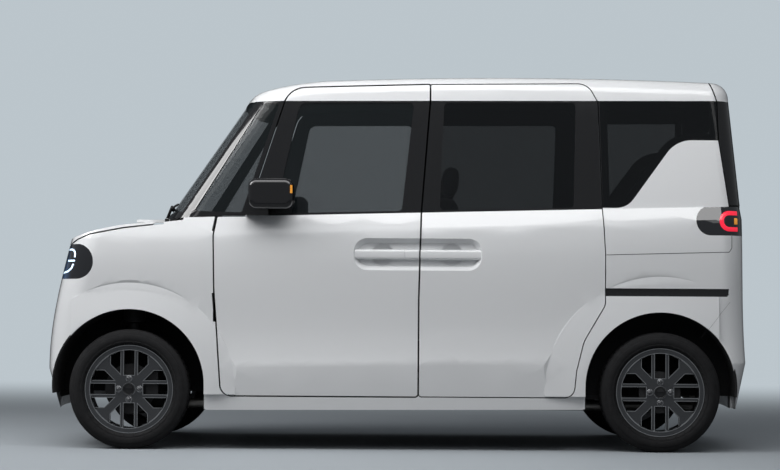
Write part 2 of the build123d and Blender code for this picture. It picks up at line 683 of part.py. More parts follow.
# Steering knuckle with spindle, disc, caliper and strut
def knuckle(side):
    with BuildPart() as solid:
        with Locations((AXLE_FRONT, side * (BALL_HALF + 14), TYRE_R)):
            Box(70, 50, 110)
        add(on_steer_axis(side, 18, 70, 26))
        add(on_steer_axis(side, 10, 60, 10 + PIN_FIT), mode=Mode.SUBTRACT)
        add(on_steer_axis(side, 150, STRUT_LENGTH - 160, 27))
        add(on_steer_axis(side, 420, 12, 62))
        add(on_steer_axis(side, 430, STRUT_LENGTH - 448, 52))
        add(on_steer_axis(side, STRUT_LENGTH - 20, 50, 15))
        with Locations((AXLE_FRONT, side * (BALL_HALF - 25), TYRE_R + 75)):
            Box(50, 90, 60)
        with Locations((AXLE_FRONT, side * (TRACK_HALF - 5), TYRE_R)):
            Cylinder(34, 80, rotation=(90, 0, 0))
        with Locations((AXLE_FRONT, side * (TRACK_HALF + HUB_FACE - FIT - 11), TYRE_R)):
            Cylinder(66, 22, rotation=(90, 0, 0))
        with Locations((AXLE_FRONT, side * (TRACK_HALF + HUB_FACE - 30), TYRE_R)):
            Cylinder(118, 18, rotation=(90, 0, 0))
        with Locations((AXLE_FRONT, side * (TRACK_HALF + HUB_FACE - 5), TYRE_R)):
            Cylinder(HUB_BORE_R - PIN_FIT, 50, rotation=(90, 0, 0))
        with Locations((AXLE_FRONT + 105, side * (TRACK_HALF + HUB_FACE - 35), TYRE_R + 20)):
            Box(56, 52, 120)
        with Locations((AXLE_FRONT + 62, side * (BALL_HALF + 27), TYRE_R + 10)):
            Box(70, 36, 60)
    return solid.part


with BuildPart() as knuckle_l:
    add(knuckle(-1))
knuckle_l.part.label = "knuckle_l"
with BuildPart() as knuckle_r:
    add(knuckle(1))
knuckle_r.part.label = "knuckle_r"

# Rear torsion-beam axle with drums, springs and dampers
with BuildPart() as rear_axle:
    with Locations((AXLE_REAR - 220, 0, 275)):
        Cylinder(34, 1000, rotation=(90, 0, 0))
    for side in (-1, 1):
        add(block(AXLE_REAR - 520, AXLE_REAR + 40, side * 470, side * 520, 240, 300))
        with Locations((AXLE_REAR - 520, side * 495, 262)):
            Cylinder(38, 72, rotation=(90, 0, 0))
        add(block(AXLE_REAR - 545, AXLE_REAR - 495, side * 440, side * 461, 262, FLOOR_Z - FLOOR_T))
        with Locations((AXLE_REAR, side * 560, TYRE_R)):
            Cylinder(34, 120, rotation=(90, 0, 0))
        with Locations((AXLE_REAR, side * (TRACK_HALF + HUB_FACE - FIT - 33), TYRE_R)):
            Cylinder(98, 66, rotation=(90, 0, 0))
        with Locations((AXLE_REAR, side * (TRACK_HALF + HUB_FACE - 5), TYRE_R)):
            Cylinder(HUB_BORE_R - PIN_FIT, 50, rotation=(90, 0, 0))
        with Locations((AXLE_REAR - 130, side * 450, (290 + LOAD_Z - 96) / 2)):
            Cylinder(50, LOAD_Z - 96 - 290)
        with Locations((AXLE_REAR + 20, side * 495, (290 + LOAD_Z - FLOOR_T) / 2)):
            Cylinder(24, LOAD_Z - FLOOR_T - 290)
    add(platform.part, mode=Mode.SUBTRACT)
rear_axle.part.label = "rear_axle"

# Engine, fuel tank and exhaust under the body
with BuildPart() as engine:
    add(block(AXLE_FRONT - 250, AXLE_FRONT + 160, -RAIL_IN + FIT, RAIL_IN - FIT, 240, 780))
    fillet(engine.edges().filter_by(Axis.Y), 40)
engine.part.label = "engine"
with BuildPart() as fuel_tank:
    add(block(120, 640, -300, 430, 190, FLOOR_Z - FLOOR_T))
    fillet(fuel_tank.edges().filter_by(Axis.Z), 60)
fuel_tank.part.label = "fuel_tank"
with BuildPart() as exhaust:
    with BuildSketch(Plane.YZ.offset(AXLE_FRONT + 170)):
        with Locations((-380, EXHAUST_Z)):
            Circle(24)
    extrude(amount=2560)
    add(block(AXLE_FRONT + 160, AXLE_FRONT + 190, -382, -260, EXHAUST_Z - 15, 330))
    with Locations((AXLE_REAR + 240, -200, 300)):
        Cylinder(80, 420, rotation=(90, 0, 0))
    add(block(AXLE_REAR + 225, AXLE_REAR + 255, -390, -370, EXHAUST_Z, 320))
    for x in (-700, 0):
        add(block(x, x + 20, -390, -370, EXHAUST_Z, FLOOR_Z - FLOOR_T))
    add(block(AXLE_REAR + 232, AXLE_REAR + 248, -210, -190, 350, LOAD_Z - FLOOR_T))
exhaust.part.label = "exhaust"

# Dashboard, steering wheel and seats
column = Plane(origin=(WHEEL_X, WHEEL_Y, WHEEL_Z), x_dir=(0, 1, 0),
               z_dir=(math.cos(math.radians(WHEEL_TILT)), 0, math.sin(math.radians(WHEEL_TILT))))
with BuildPart() as dashboard:
    with BuildSketch(Plane.XZ):
        with BuildLine():
            rounded_path([(CABIN_FRONT + 30, 620, 0), (-800, 560, 30), (-660, 700, 60), (-640, 980, 60),
                          (-720, 1040, 80),
                          (CABIN_FRONT + 30, 1050, 0)])
        make_face()
    extrude(amount=570, both=True)
    with BuildSketch(column):
        Circle(COLUMN_R + PIN_FIT)
    extrude(amount=-420, mode=Mode.SUBTRACT)
dashboard.part.label = "dashboard"
with BuildPart() as steering_wheel:
    with BuildSketch(column.offset(-300)):
        Circle(COLUMN_R)
    extrude(amount=300)
    with BuildSketch(column.offset(-22)):
        Circle(70)
    extrude(amount=44)
    with BuildSketch(column.offset(-8)):
        Rectangle(350, 36)
        with Locations((0, -90) if column.y_dir.Z > 0 else (0, 90)):
            Rectangle(40, 170)
    extrude(amount=16)
    with BuildSketch(Plane(origin=column.origin, x_dir=column.x_dir, z_dir=column.y_dir)):
        with Locations((178, 0)):
            Circle(15)
    revolve(axis=Axis(column.origin, column.z_dir))
steering_wheel.part.label = "steering_wheel"


def seat(y0, width, x0, cushion_z, back_z, head_width, heads):
    """Cushion, raked back and head restraints on a base that stands on the floor."""
    with BuildPart() as solid:
        with BuildSketch(Plane.XZ.offset(-y0)):
            with BuildLine():
                rounded_path([(x0, cushion_z - 150, 40), (x0 + 480, cushion_z - 170, 30),
                              (x0 + 640, back_z, 40),
                              (x0 + 530, back_z, 40), (x0 + 420, cushion_z, 60), (x0, cushion_z + 20, 50)])
            make_face()
        extrude(amount=width / 2, both=True)
        for shift in heads:
            with Locations((x0 + 590, y0 + shift, back_z + 70)):
                Box(90, head_width, 150)
            with Locations((x0 + 588, y0 + shift, back_z)):
                Box(30, head_width / 2, 40)
    return solid.part


with BuildPart() as front_seats:
    for side in (-1, 1):
        add(seat(side * 330, 470, -330, 650, 1210, 250, [0]))
        add(block(-250, 110, side * 330 - 190, side * 330 + 190, FLOOR_Z, 520))
front_seats.part.label = "front_seats"
with BuildPart() as rear_seat:
    add(seat(0, 1060, 700, 765, 1260, 220, [-290, 290]))
    add(block(900, 1150, -480, 480, LOAD_Z, 600))
rear_seat.part.label = "rear_seat"

# Wheels
RIM_ROWS = [("fl", AXLE_FRONT, -1), ("fr", AXLE_FRONT, 1), ("rl", AXLE_REAR, -1), ("rr", AXLE_REAR, 1)]
FACE_IN = HUB_FACE
FACE_OUT = RIM_HALF_WIDTH - 6
with BuildPart() as rim_master:
    with BuildSketch(Plane.XY):
        with BuildLine():
            w = RIM_HALF_WIDTH
            Polyline((RIM_BARREL_R - 9, -w), (RIM_FLANGE_R, -w), (RIM_FLANGE_R, 7 - w), (RIM_BARREL_R, 9 - w),
                     (RIM_BARREL_R, w - 9), (RIM_FLANGE_R, w - 7), (RIM_FLANGE_R, w), (RIM_BARREL_R - 9, w),
                     close=True)
        make_face()
    revolve(axis=Axis.Y)
    with BuildSketch(Plane.XZ.offset(-FACE_OUT)):
        Circle(RIM_BARREL_R - 4)
        with PolarLocations(0, 4):
            with Locations((125, 0)):
                Rectangle(118, 50, mode=Mode.SUBTRACT)
            for flip in (-1, 1):
                Polygon((70, flip * 41), (116, flip * 87), (158, flip * 87), (178, flip * 41), align=None,
                        mode=Mode.SUBTRACT)
    extrude(amount=FACE_OUT - FACE_IN)
    with BuildSketch(Plane.XZ.offset(-FACE_OUT - 10)):
        Circle(HUB_BORE_R)
    extrude(amount=60, mode=Mode.SUBTRACT)
# Tyre section from bead to tread: radius, distance from the middle plane
TYRE_SECTION = [
    (RIM_BARREL_R + FIT, TYRE_HALF_WIDTH - 30), (RIM_FLANGE_R + 4, TYRE_HALF_WIDTH - 24),
    (RIM_FLANGE_R + 12, TYRE_HALF_WIDTH - 12), (TYRE_R - 46, TYRE_HALF_WIDTH),
    (TYRE_R - 20, TYRE_HALF_WIDTH - 5),
    (TYRE_R - 7, TYRE_HALF_WIDTH - 14), (TYRE_R, TYRE_HALF_WIDTH - 28),
]
with BuildPart() as tyre_master:
    with BuildSketch(Plane.XY):
        with BuildLine():
            Polyline(TYRE_SECTION + [(r, -y) for r, y in reversed(TYRE_SECTION)], close=True)
        make_face()
    revolve(axis=Axis.Y)
wheel_nodes = []
for name, axle_x, side in RIM_ROWS:
    turn = (0, 0, 0) if side > 0 else (0, 0, 180)
    place = Location((axle_x, side * TRACK_HALF, TYRE_R), turn)
    with BuildPart() as rim:
        add(rim_master.part.moved(place))
    rim.part.label = "rim_" + name
    with BuildPart() as tyre:
        add(tyre_master.part.moved(place))
    tyre.part.label = "tyre_" + name
    wheel_nodes += [rim, tyre]

# Hinges for hood and tailgate, arms for the doors and roller arms of the sliding doors


def cross_pin(x, y, z, radius, length):
    with BuildPart() as solid:
        with Locations((x, y, z)):
            Cylinder(radius, length, rotation=(90, 0, 0))
    return solid.part


hood_arms = []
gate_arms = []
gate_notches = []
for side in (-1, 1):
    y0 = side * HOOD_ARM_Y
    lever = block(-1230, HOOD_AXIS_X, y0 - 12, y0 + 12, HOOD_AXIS_Z - 9, HOOD_AXIS_Z + 5)
    arm = lever + cross_pin(HOOD_AXIS_X, y0, HOOD_AXIS_Z, 12, 24)
    hood_arms.append(arm - cross_pin(HOOD_AXIS_X, y0, HOOD_AXIS_Z, PIN_R + PIN_FIT, 40))
    y1 = side * GATE_ARM_Y
    lever = block(GATE_AXIS_X, 1506, y1 - 14, y1 + 14, GATE_AXIS_Z - 8, GATE_AXIS_Z + 6)
    arm = lever + cross_pin(GATE_AXIS_X, y1, GATE_AXIS_Z, 13, 28)
    gate_arms.append(arm - cross_pin(GATE_AXIS_X, y1, GATE_AXIS_Z, PIN_R + PIN_FIT, 40))
    gate_notches.append(block(GATE_AXIS_X - 22, 1520, y1 - 20, y1 + 20, 1690, 1800))
with BuildPart() as hood_done:
    add(hood.part)
    for arm in hood_arms:
        add(arm)
hood_done.part.label = "hood"
with BuildPart() as tailgate_done:
    add(tailgate.part)
    for arm in gate_arms:
        add(arm)
tailgate_done.part.label = "tailgate"
with BuildPart() as roof_done:
    add(roof.part)
    for notch in gate_notches:
        add(notch, mode=Mode.SUBTRACT)
roof_done.part.label = "roof"
with BuildPart() as hinges:
    for side in (-1, 1):
        add(hinge_arms(side))
        add(cross_pin(HOOD_AXIS_X, side * (HOOD_ARM_Y + 6), HOOD_AXIS_Z, PIN_R, 48))
        add(block(HOOD_AXIS_X - 10, HOOD_AXIS_X + 10, side * (HOOD_ARM_Y + 18), side * (HOOD_ARM_Y + 30),
                  COWL_TOP, HOOD_AXIS_Z + 9))
        add(cross_pin(GATE_AXIS_X, side * GATE_ARM_Y, GATE_AXIS_Z, PIN_R, 40))
        add(block(982, 993, side * 670, side * 700, 770, 810))
    add(fenders.part, mode=Mode.SUBTRACT)
    add(sliding_doors.part, mode=Mode.SUBTRACT)
    add(body_sides.part, mode=Mode.SUBTRACT)
hinges.part.label = "hinges"

NODES = [
    platform, body_sides, fenders, front_bumper, rear_bumper, grille, headlamps, tail_lamps,
    roof_done, window_frames, front_glass, privacy_glass, sliding_doors, cowl, arch_liners, subframe,
    rear_axle, engine, fuel_tank, exhaust, dashboard, front_seats, rear_seat, hinges, front_door_l,
    front_sash_l, front_glass_l, mirror_l, front_door_r, front_sash_r, front_glass_r, mirror_r,
    hood_done, tailgate_done, tailgate_frame, tailgate_glass, knuckle_l, knuckle_r, steering_wheel,
] + wheel_nodes
for node in NODES:
    export_step(node.part, "parts/" + node.part.label + ".step")
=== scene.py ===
"""Looks of a small tall white car with sliding rear doors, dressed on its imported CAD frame. Metres."""

import json
import math

import bpy
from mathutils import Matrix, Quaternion, Vector
from mathutils.bvhtree import BVHTree


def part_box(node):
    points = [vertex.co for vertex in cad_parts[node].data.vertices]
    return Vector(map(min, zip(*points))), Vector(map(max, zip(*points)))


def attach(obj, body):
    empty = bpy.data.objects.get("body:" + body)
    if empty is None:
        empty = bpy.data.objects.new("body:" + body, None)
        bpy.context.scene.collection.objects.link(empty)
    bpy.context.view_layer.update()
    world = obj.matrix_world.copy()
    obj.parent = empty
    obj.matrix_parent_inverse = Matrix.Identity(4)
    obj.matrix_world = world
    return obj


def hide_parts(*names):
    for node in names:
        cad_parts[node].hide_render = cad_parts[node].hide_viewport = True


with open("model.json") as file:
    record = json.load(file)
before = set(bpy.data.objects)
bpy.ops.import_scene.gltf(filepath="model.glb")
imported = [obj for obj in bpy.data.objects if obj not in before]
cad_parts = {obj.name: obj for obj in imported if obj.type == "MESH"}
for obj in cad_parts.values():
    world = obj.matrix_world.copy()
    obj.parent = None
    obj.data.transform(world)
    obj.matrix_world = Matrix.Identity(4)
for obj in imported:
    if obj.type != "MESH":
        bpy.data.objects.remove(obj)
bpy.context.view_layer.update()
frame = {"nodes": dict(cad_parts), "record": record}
nodes = frame["nodes"]
bodies = frame["record"]["behaviour"]["bodies"]
body_of_node = {name: body for body, members in bodies.items() for name in members}

# Camera, as read from the photograph
CAMERA_DISTANCE = 10.0
CAMERA_HEIGHT = 0.66
CAMERA_ROLL = math.radians(0.38)
IMAGE_WIDTH = 780
HORIZON_BELOW_CENTRE = 75
AXIS_RIGHT_OF_CENTRE = 5.5
FOCAL_PIXELS = 2128
SENSOR = 36.0

# Sizes that the pieces share
NEAR_FACE = 0.7175
SMOOTH = math.radians(20)
# Sign of Y and name ending of the two sides
SIDES = [(-1, "l"), (1, "r")]
# Turn that lays a cylinder along Y
ALONG_Y = (math.pi / 2, 0, 0)
# Share of a face's normal that counts as looking one way
FACING = 0.9
SAME_PLACE = 1e-5


def only(piece):
    """Selects one piece and makes it the active one, in object mode."""
    if bpy.context.object and bpy.context.object.mode != "OBJECT":
        bpy.ops.object.mode_set(mode="OBJECT")
    bpy.ops.object.select_all(action="DESELECT")
    piece.select_set(True)
    bpy.context.view_layer.objects.active = piece


def pick(piece, test):
    """Goes into edit mode with just the faces selected whose centre and normal pass the test."""
    only(piece)
    bpy.ops.object.mode_set(mode="EDIT")
    bpy.ops.mesh.select_mode(type="FACE")
    bpy.ops.mesh.select_all(action="DESELECT")
    bpy.ops.object.mode_set(mode="OBJECT")
    for face in piece.data.polygons:
        face.select = test(face.center, face.normal)
    bpy.ops.object.mode_set(mode="EDIT")


def pick_edges(piece, test):
    """Goes into edit mode with just the edges selected whose two ends pass the test."""
    only(piece)
    bpy.ops.object.mode_set(mode="EDIT")
    bpy.ops.mesh.select_mode(type="EDGE")
    bpy.ops.mesh.select_all(action="DESELECT")
    bpy.ops.object.mode_set(mode="OBJECT")
    for edge in piece.data.edges:
        edge.select = test(*[piece.data.vertices[v].co for v in edge.vertices])
    bpy.ops.object.mode_set(mode="EDIT")


def done():
    bpy.ops.object.mode_set(mode="OBJECT")


def modify(piece, kind, **settings):
    """Adds a modifier with these settings and applies it."""
    only(piece)
    modifier = piece.modifiers.new(kind.title(), kind)
    for name, value in settings.items():
        setattr(modifier, name, value)
    bpy.ops.object.modifier_apply(modifier=modifier.name)


def soften(piece, width):
    """Rounds the sharp edges of a piece a little."""
    modify(piece, "BEVEL", width=width, segments=2, limit_method="ANGLE")


def smooth(piece, angle=SMOOTH):
    only(piece)
    bpy.ops.object.shade_smooth_by_angle(angle=angle)


def settle(piece, name, body, slot, *materials):
    """Names a finished piece, puts its place into its mesh, smooths it and gives it body and finish; its slot
    is not used.
    """
    only(piece)
    bpy.ops.object.transform_apply(location=True, rotation=True, scale=True)
    piece.name = name
    piece.data.name = name
    for material in materials:
        piece.data.materials.append(material)
    smooth(piece)
    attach(piece, body)
    return piece


def panel(node, slot, *materials):
    """A merged, smoothed copy of a CAD node that stands for it."""
    copy = bpy.data.objects.new(node + "_skin", nodes[node].data.copy())
    bpy.context.scene.collection.objects.link(copy)
    copy.data.materials.clear()
    only(copy)
    if copy.data.has_custom_normals:
        bpy.ops.mesh.customdata_custom_splitnormals_clear()
    bpy.ops.object.mode_set(mode="EDIT")
    bpy.ops.mesh.select_all(action="SELECT")
    bpy.ops.mesh.remove_doubles(threshold=SAME_PLACE)
    done()
    settle(copy, node + "_skin", body_of_node[node], slot, *materials)
    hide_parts(node)
    return copy


def paint_faces(piece, index, test):
    """Gives the faces that pass the test the material in that slot of the piece."""
    pick(piece, test)
    piece.active_material_index = index
    bpy.ops.object.material_slot_assign()
    done()


# Finishes

LENS_DARK_X = -1.530
LENS_BLUE_X = -1.575


def finish(name, colour, roughness, **sockets):
    """A Principled material with plain values on its sockets."""
    material = bpy.data.materials.new(name)
    material.use_nodes = True
    shader = material.node_tree.nodes["Principled BSDF"]
    shader.inputs["Base Color"].default_value = (*colour, 1)
    shader.inputs["Roughness"].default_value = roughness
    for socket, value in sockets.items():
        shader.inputs[socket.replace("_", " ")].default_value = value
    return material


def texture(material, kind, scale, **settings):
    """A texture node that reads the piece's own place."""
    tree = material.node_tree
    place = tree.nodes.new("ShaderNodeTexCoord")
    node = tree.nodes.new(kind)
    node.inputs["Scale"].default_value = scale
    for name, value in settings.items():
        node.inputs[name.replace("_", " ")].default_value = value
    tree.links.new(place.outputs["Object"], node.inputs["Vector"])
    return node


def mottle(material, low, high, scale, detail=4.0):
    """Varies the base colour between two close tones."""
    tree = material.node_tree
    noise = texture(material, "ShaderNodeTexNoise", scale, Detail=detail)
    ramp = tree.nodes.new("ShaderNodeValToRGB")
    ramp.color_ramp.elements[0].color = (*low, 1)
    ramp.color_ramp.elements[1].color = (*high, 1)
    ramp.color_ramp.elements[0].position = 0.3
    ramp.color_ramp.elements[1].position = 0.7
    tree.links.new(noise.outputs["Fac"], ramp.inputs["Fac"])
    tree.links.new(ramp.outputs["Color"], tree.nodes["Principled BSDF"].inputs["Base Color"])


def roughen(material, low, high, scale):
    """Varies the roughness a little, as handling and wash marks do."""
    tree = material.node_tree
    noise = texture(material, "ShaderNodeTexNoise", scale, Detail=6.0)
    span = tree.nodes.new("ShaderNodeMapRange")
    span.inputs["To Min"].default_value = low
    span.inputs["To Max"].default_value = high
    tree.links.new(noise.outputs["Fac"], span.inputs["Value"])
    tree.links.new(span.outputs["Result"], tree.nodes["Principled BSDF"].inputs["Roughness"])


def grain(material, kind, scale, strength, distance, output="Fac"):
    """Raises a fine pattern on the surface."""
    tree = material.node_tree
    pattern = texture(material, kind, scale)
    bump = tree.nodes.new("ShaderNodeBump")
    bump.inputs["Strength"].default_value = strength
    bump.inputs["Distance"].default_value = distance
    tree.links.new(pattern.outputs[output], bump.inputs["Height"])
    tree.links.new(bump.outputs["Normal"], tree.nodes["Principled BSDF"].inputs["Normal"])


def pearl_paint():
    material = finish("pearl_white_paint", (0.80, 0.81, 0.82), 0.32, Coat_Weight=1.0, Coat_Roughness=0.03)
    mottle(material, (0.79, 0.80, 0.815), (0.81, 0.818, 0.825), 900.0)
    grain(material, "ShaderNodeTexNoise", 1400.0, 0.04, 0.0004)
    return material


def gloss_black():
    material = finish("gloss_black", (0.008, 0.008, 0.009), 0.08, Coat_Weight=0.6, Coat_Roughness=0.02)
    roughen(material, 0.06, 0.12, 30.0)
    return material


def black_plastic():
    material = finish("grained_black_plastic", (0.018, 0.018, 0.019), 0.6)
    mottle(material, (0.016, 0.016, 0.017), (0.022, 0.022, 0.023), 60.0)
    grain(material, "ShaderNodeTexVoronoi", 700.0, 0.25, 0.0006, "Distance")
    return material


def liner_felt():
    material = finish("wheel_arch_felt", (0.006, 0.006, 0.007), 0.95)
    mottle(material, (0.004, 0.004, 0.005), (0.010, 0.010, 0.011), 220.0)
    grain(material, "ShaderNodeTexNoise", 900.0, 0.5, 0.001)
    return material


def tinted_glass(name, colour, alpha):
    material = finish(name, colour, 0.02, Alpha=alpha, IOR=1.5, Specular_IOR_Level=0.6)
    roughen(material, 0.012, 0.03, 6.0)
    return material


def smoked_lens():
    """Dark lamp cover that turns blue towards the front of the headlamp."""
    material = finish("smoked_lamp_lens", (0.015, 0.018, 0.024), 0.05, Coat_Weight=1.0, Coat_Roughness=0.01)
    tree = material.node_tree
    place = tree.nodes.new("ShaderNodeTexCoord")
    split = tree.nodes.new("ShaderNodeSeparateXYZ")
    span = tree.nodes.new("ShaderNodeMapRange")
    span.inputs["From Min"].default_value = LENS_DARK_X
    span.inputs["From Max"].default_value = LENS_BLUE_X
    ramp = tree.nodes.new("ShaderNodeValToRGB")
    ramp.color_ramp.elements[0].color = (0.012, 0.013, 0.016, 1)
    ramp.color_ramp.elements[1].color = (0.020, 0.075, 0.19, 1)
    tree.links.new(place.outputs["Object"], split.inputs["Vector"])
    tree.links.new(split.outputs["X"], span.inputs["Value"])
    tree.links.new(span.outputs["Result"], ramp.inputs["Fac"])
    tree.links.new(ramp.outputs["Color"], tree.nodes["Principled BSDF"].inputs["Base Color"])
    roughen(material, 0.03, 0.08, 40.0)
    return material


def gunmetal():
    material = finish("gunmetal_alloy", (0.10, 0.104, 0.112), 0.38, Metallic=0.85, Coat_Weight=0.3)
    mottle(material, (0.09, 0.094, 0.10), (0.115, 0.118, 0.126), 500.0)
    grain(material, "ShaderNodeTexNoise", 1600.0, 0.06, 0.0004)
    return material


def machined_alloy():
    material = finish("machined_alloy", (0.62, 0.63, 0.64), 0.24, Metallic=1.0)
    roughen(material, 0.20, 0.30, 900.0)
    return material


def rubber():
    material = finish("tyre_rubber", (0.022, 0.022, 0.024), 0.8, Specular_IOR_Level=0.25)
    mottle(material, (0.010, 0.010, 0.011), (0.015, 0.015, 0.016), 40.0)
    grain(material, "ShaderNodeTexNoise", 700.0, 0.12, 0.0006)
    return material


def satin_steel(name, low, high, roughness, metallic):
    material = finish(name, high, roughness, Metallic=metallic)
    mottle(material, low, high, 35.0)
    grain(material, "ShaderNodeTexNoise", 350.0, 0.15, 0.0008)
    return material


def seat_cloth():
    material = finish("woven_seat_cloth", (0.05, 0.05, 0.053), 0.9, Sheen_Weight=0.3)
    mottle(material, (0.040, 0.040, 0.043), (0.062, 0.062, 0.066), 500.0)
    grain(material, "ShaderNodeTexVoronoi", 420.0, 0.5, 0.0015, "Distance")
    return material


def cabin_lining():
    material = finish("cabin_lining", (0.045, 0.046, 0.05), 0.85)
    mottle(material, (0.040, 0.041, 0.045), (0.052, 0.053, 0.057), 300.0)
    grain(material, "ShaderNodeTexNoise", 800.0, 0.2, 0.0008)
    return material


def lit(name, colour, strength):
    """A lamp that glows a little, with a ribbed light guide."""
    material = finish(name, colour, 0.2, Emission_Strength=strength, Coat_Weight=1.0)
    material.node_tree.nodes["Principled BSDF"].inputs["Emission Color"].default_value = (*colour, 1)
    grain(material, "ShaderNodeTexWave", 120.0, 0.3, 0.0008)
    return material


PAINT = pearl_paint()
BLACK = gloss_black()
PLASTIC = black_plastic()
FELT = liner_felt()
CLEAR = tinted_glass("green_tint_glass", (0.014, 0.018, 0.020), 0.42)
PRIVACY = tinted_glass("privacy_glass", (0.004, 0.005, 0.006), 0.60)
LENS = smoked_lens()
GUNMETAL = gunmetal()
MACHINED = machined_alloy()
RUBBER = rubber()
CHASSIS = satin_steel("chassis_black", (0.016, 0.016, 0.017), (0.028, 0.028, 0.030), 0.5, 0.2)
STRUCTURE = satin_steel("floor_primer", (0.16, 0.165, 0.17), (0.20, 0.205, 0.21), 0.55, 0.1)
CAST = satin_steel("cast_alloy", (0.30, 0.30, 0.31), (0.40, 0.40, 0.41), 0.5, 0.9)
EXHAUST = satin_steel("exhaust_steel", (0.26, 0.25, 0.24), (0.36, 0.35, 0.33), 0.42, 0.95)
CLOTH = seat_cloth()
LINING = cabin_lining()
DARK_CHROME = satin_steel("dark_chrome", (0.20, 0.20, 0.21), (0.30, 0.30, 0.31), 0.25, 1.0)
MIRROR = finish("mirror_glass", (0.80, 0.82, 0.84), 0.02, Metallic=1.0)
roughen(MIRROR, 0.01, 0.03, 8.0)
DAYLIGHT = lit("running_light", (0.62, 0.80, 1.0), 1.6)
RED = lit("tail_light_red", (0.80, 0.015, 0.045), 0.75)
AMBER = lit("amber_lens", (0.90, 0.36, 0.04), 0.35)

# CAD nodes that keep their shape, with the slot and finish of each
SKINS = {
    ("paint", PAINT): ["body_sides", "fenders", "front_bumper", "rear_bumper", "roof", "sliding_doors",
                       "front_door_l", "front_door_r", "hood", "tailgate"],
    ("gloss_black", BLACK): ["window_frames", "front_sash_l", "front_sash_r", "tailgate_frame", "mirror_l",
                             "mirror_r"],
    ("dark_trim", PLASTIC): ["cowl", "grille", "dashboard", "steering_wheel", "fuel_tank"],
    ("dark_trim", FELT): ["arch_liners"],
    ("clear_glass", CLEAR): ["front_glass", "front_glass_l", "front_glass_r"],
    ("dark_glass", PRIVACY): ["privacy_glass", "tailgate_glass"],
    ("lamp_lens", LENS): ["headlamps"],
    ("tail_lens", LENS): ["tail_lamps"],
    ("chassis_steel", CHASSIS): ["subframe", "rear_axle", "knuckle_l", "knuckle_r", "hinges"],
    ("structure", STRUCTURE): ["platform"],
    ("engine_alloy", CAST): ["engine"],
    ("exhaust_steel", EXHAUST): ["exhaust"],
}
LINED = ["body_sides", "roof", "sliding_doors", "front_door_l", "front_door_r", "window_frames",
         "front_sash_l", "front_sash_r", "tailgate", "tailgate_frame"]
CABIN_MIDDLE = Vector((0.25, 0.0, 1.0))
CABIN_HALF = Vector((1.35, 0.70, 0.76))
CABIN_FACING = 0.3


def faces_cabin(at, way):
    """True for a face of a body panel that looks into the cabin."""
    off = at - CABIN_MIDDLE
    near = all(abs(off[i]) < CABIN_HALF[i] for i in range(3))
    flat = Vector((off.x / CABIN_HALF.x, off.y / CABIN_HALF.y, off.z / CABIN_HALF.z))
    return near and flat.dot(way) < -CABIN_FACING


for (slot, material), names in SKINS.items():
    for name in names:
        if name in LINED:
            paint_faces(panel(name, slot, material, LINING), 1, faces_cabin)
        else:
            panel(name, slot, material)

# Forms carved into the panels

LONG_EDGE = 0.9


def block(size, middle, corner=0.0, axis=1, steps=10):
    """A block with the edges along one axis rounded."""
    bpy.ops.mesh.primitive_cube_add(size=1, scale=size, location=middle)
    piece = bpy.context.object
    only(piece)
    bpy.ops.object.transform_apply(location=True, scale=True)
    if corner:
        pick_edges(piece, lambda a, b: abs(a[axis] - b[axis]) > LONG_EDGE * size[axis])
        bpy.ops.mesh.bevel(offset=corner, segments=steps, affect="EDGES")
        done()
    return piece


def carve(target, cutter):
    """Cuts one shape out of a panel and removes the cutter."""
    modify(target, "BOOLEAN", operation="DIFFERENCE", object=cutter, solver="EXACT")
    bpy.data.objects.remove(cutter)


HANDLE_X = (-0.192, 0.404)
HANDLE_Z = 0.921
HANDLE_HEIGHT = 0.146
HANDLE_CORNER = 0.062
HANDLE_SKIN = 0.733
HANDLE_DEPTH = 0.027
HANDLE_SLOPE = 0.018
CUP_X = (-0.060, 0.266)
CUP_R = 0.052
CUP_DEPTH = 0.012
BAR_HEIGHT = 0.046
BAR_DEPTH = 0.026
BAR_CORNER = 0.011
BAR_EDGE = 0.0015
# Door or body that a stretch of the handle bar rides on, with its two ends
BARS = [("front_door", -0.196, 0.0430), ("front_door", 0.0445, 0.1105), ("body", 0.1185, 0.408)]


def handle_recess(side):
    """Round-ended recess with sloped walls across both doors, with two finger cups."""
    length = HANDLE_X[1] - HANDLE_X[0]
    middle = Vector(((HANDLE_X[0] + HANDLE_X[1]) / 2, side * HANDLE_SKIN, HANDLE_Z))
    piece = block((length, 2 * HANDLE_DEPTH, HANDLE_HEIGHT), middle, HANDLE_CORNER)
    for way_out, grow in ((-1, -HANDLE_SLOPE), (1, HANDLE_SLOPE)):
        pick(piece, lambda at, way: way.y * side * way_out > FACING)
        wider = 1 + 2 * grow / length
        taller = 1 + 2 * grow / HANDLE_HEIGHT
        bpy.ops.transform.resize(value=(wider, 1, taller), center_override=middle)
        done()
    for x in CUP_X:
        bpy.ops.mesh.primitive_cylinder_add(vertices=48, radius=CUP_R, depth=2 * (HANDLE_DEPTH + CUP_DEPTH),
                                            location=(x, side * HANDLE_SKIN, HANDLE_Z), rotation=ALONG_Y)
        cup = bpy.context.object
        modify(piece, "BOOLEAN", operation="UNION", object=cup, solver="EXACT")
        bpy.data.objects.remove(cup)
    return piece


def handles(side, tail):
    """The shared recess, cut into both doors, and the bar that bridges it."""
    for name in ("front_door_" + tail, "sliding_doors"):
        carve(bpy.data.objects[name + "_skin"], handle_recess(side))
    for number, (body, start, end) in enumerate(BARS):
        size = (end - start, BAR_DEPTH, BAR_HEIGHT)
        middle = ((start + end) / 2, side * (HANDLE_SKIN - BAR_DEPTH / 2), HANDLE_Z)
        piece = block(size, middle, BAR_CORNER, axis=0, steps=5)
        soften(piece, BAR_EDGE)
        rider = body if body == "body" else body + "_" + tail
        settle(piece, "handle_bar_%d_%s" % (number, tail), rider, "paint", PAINT)


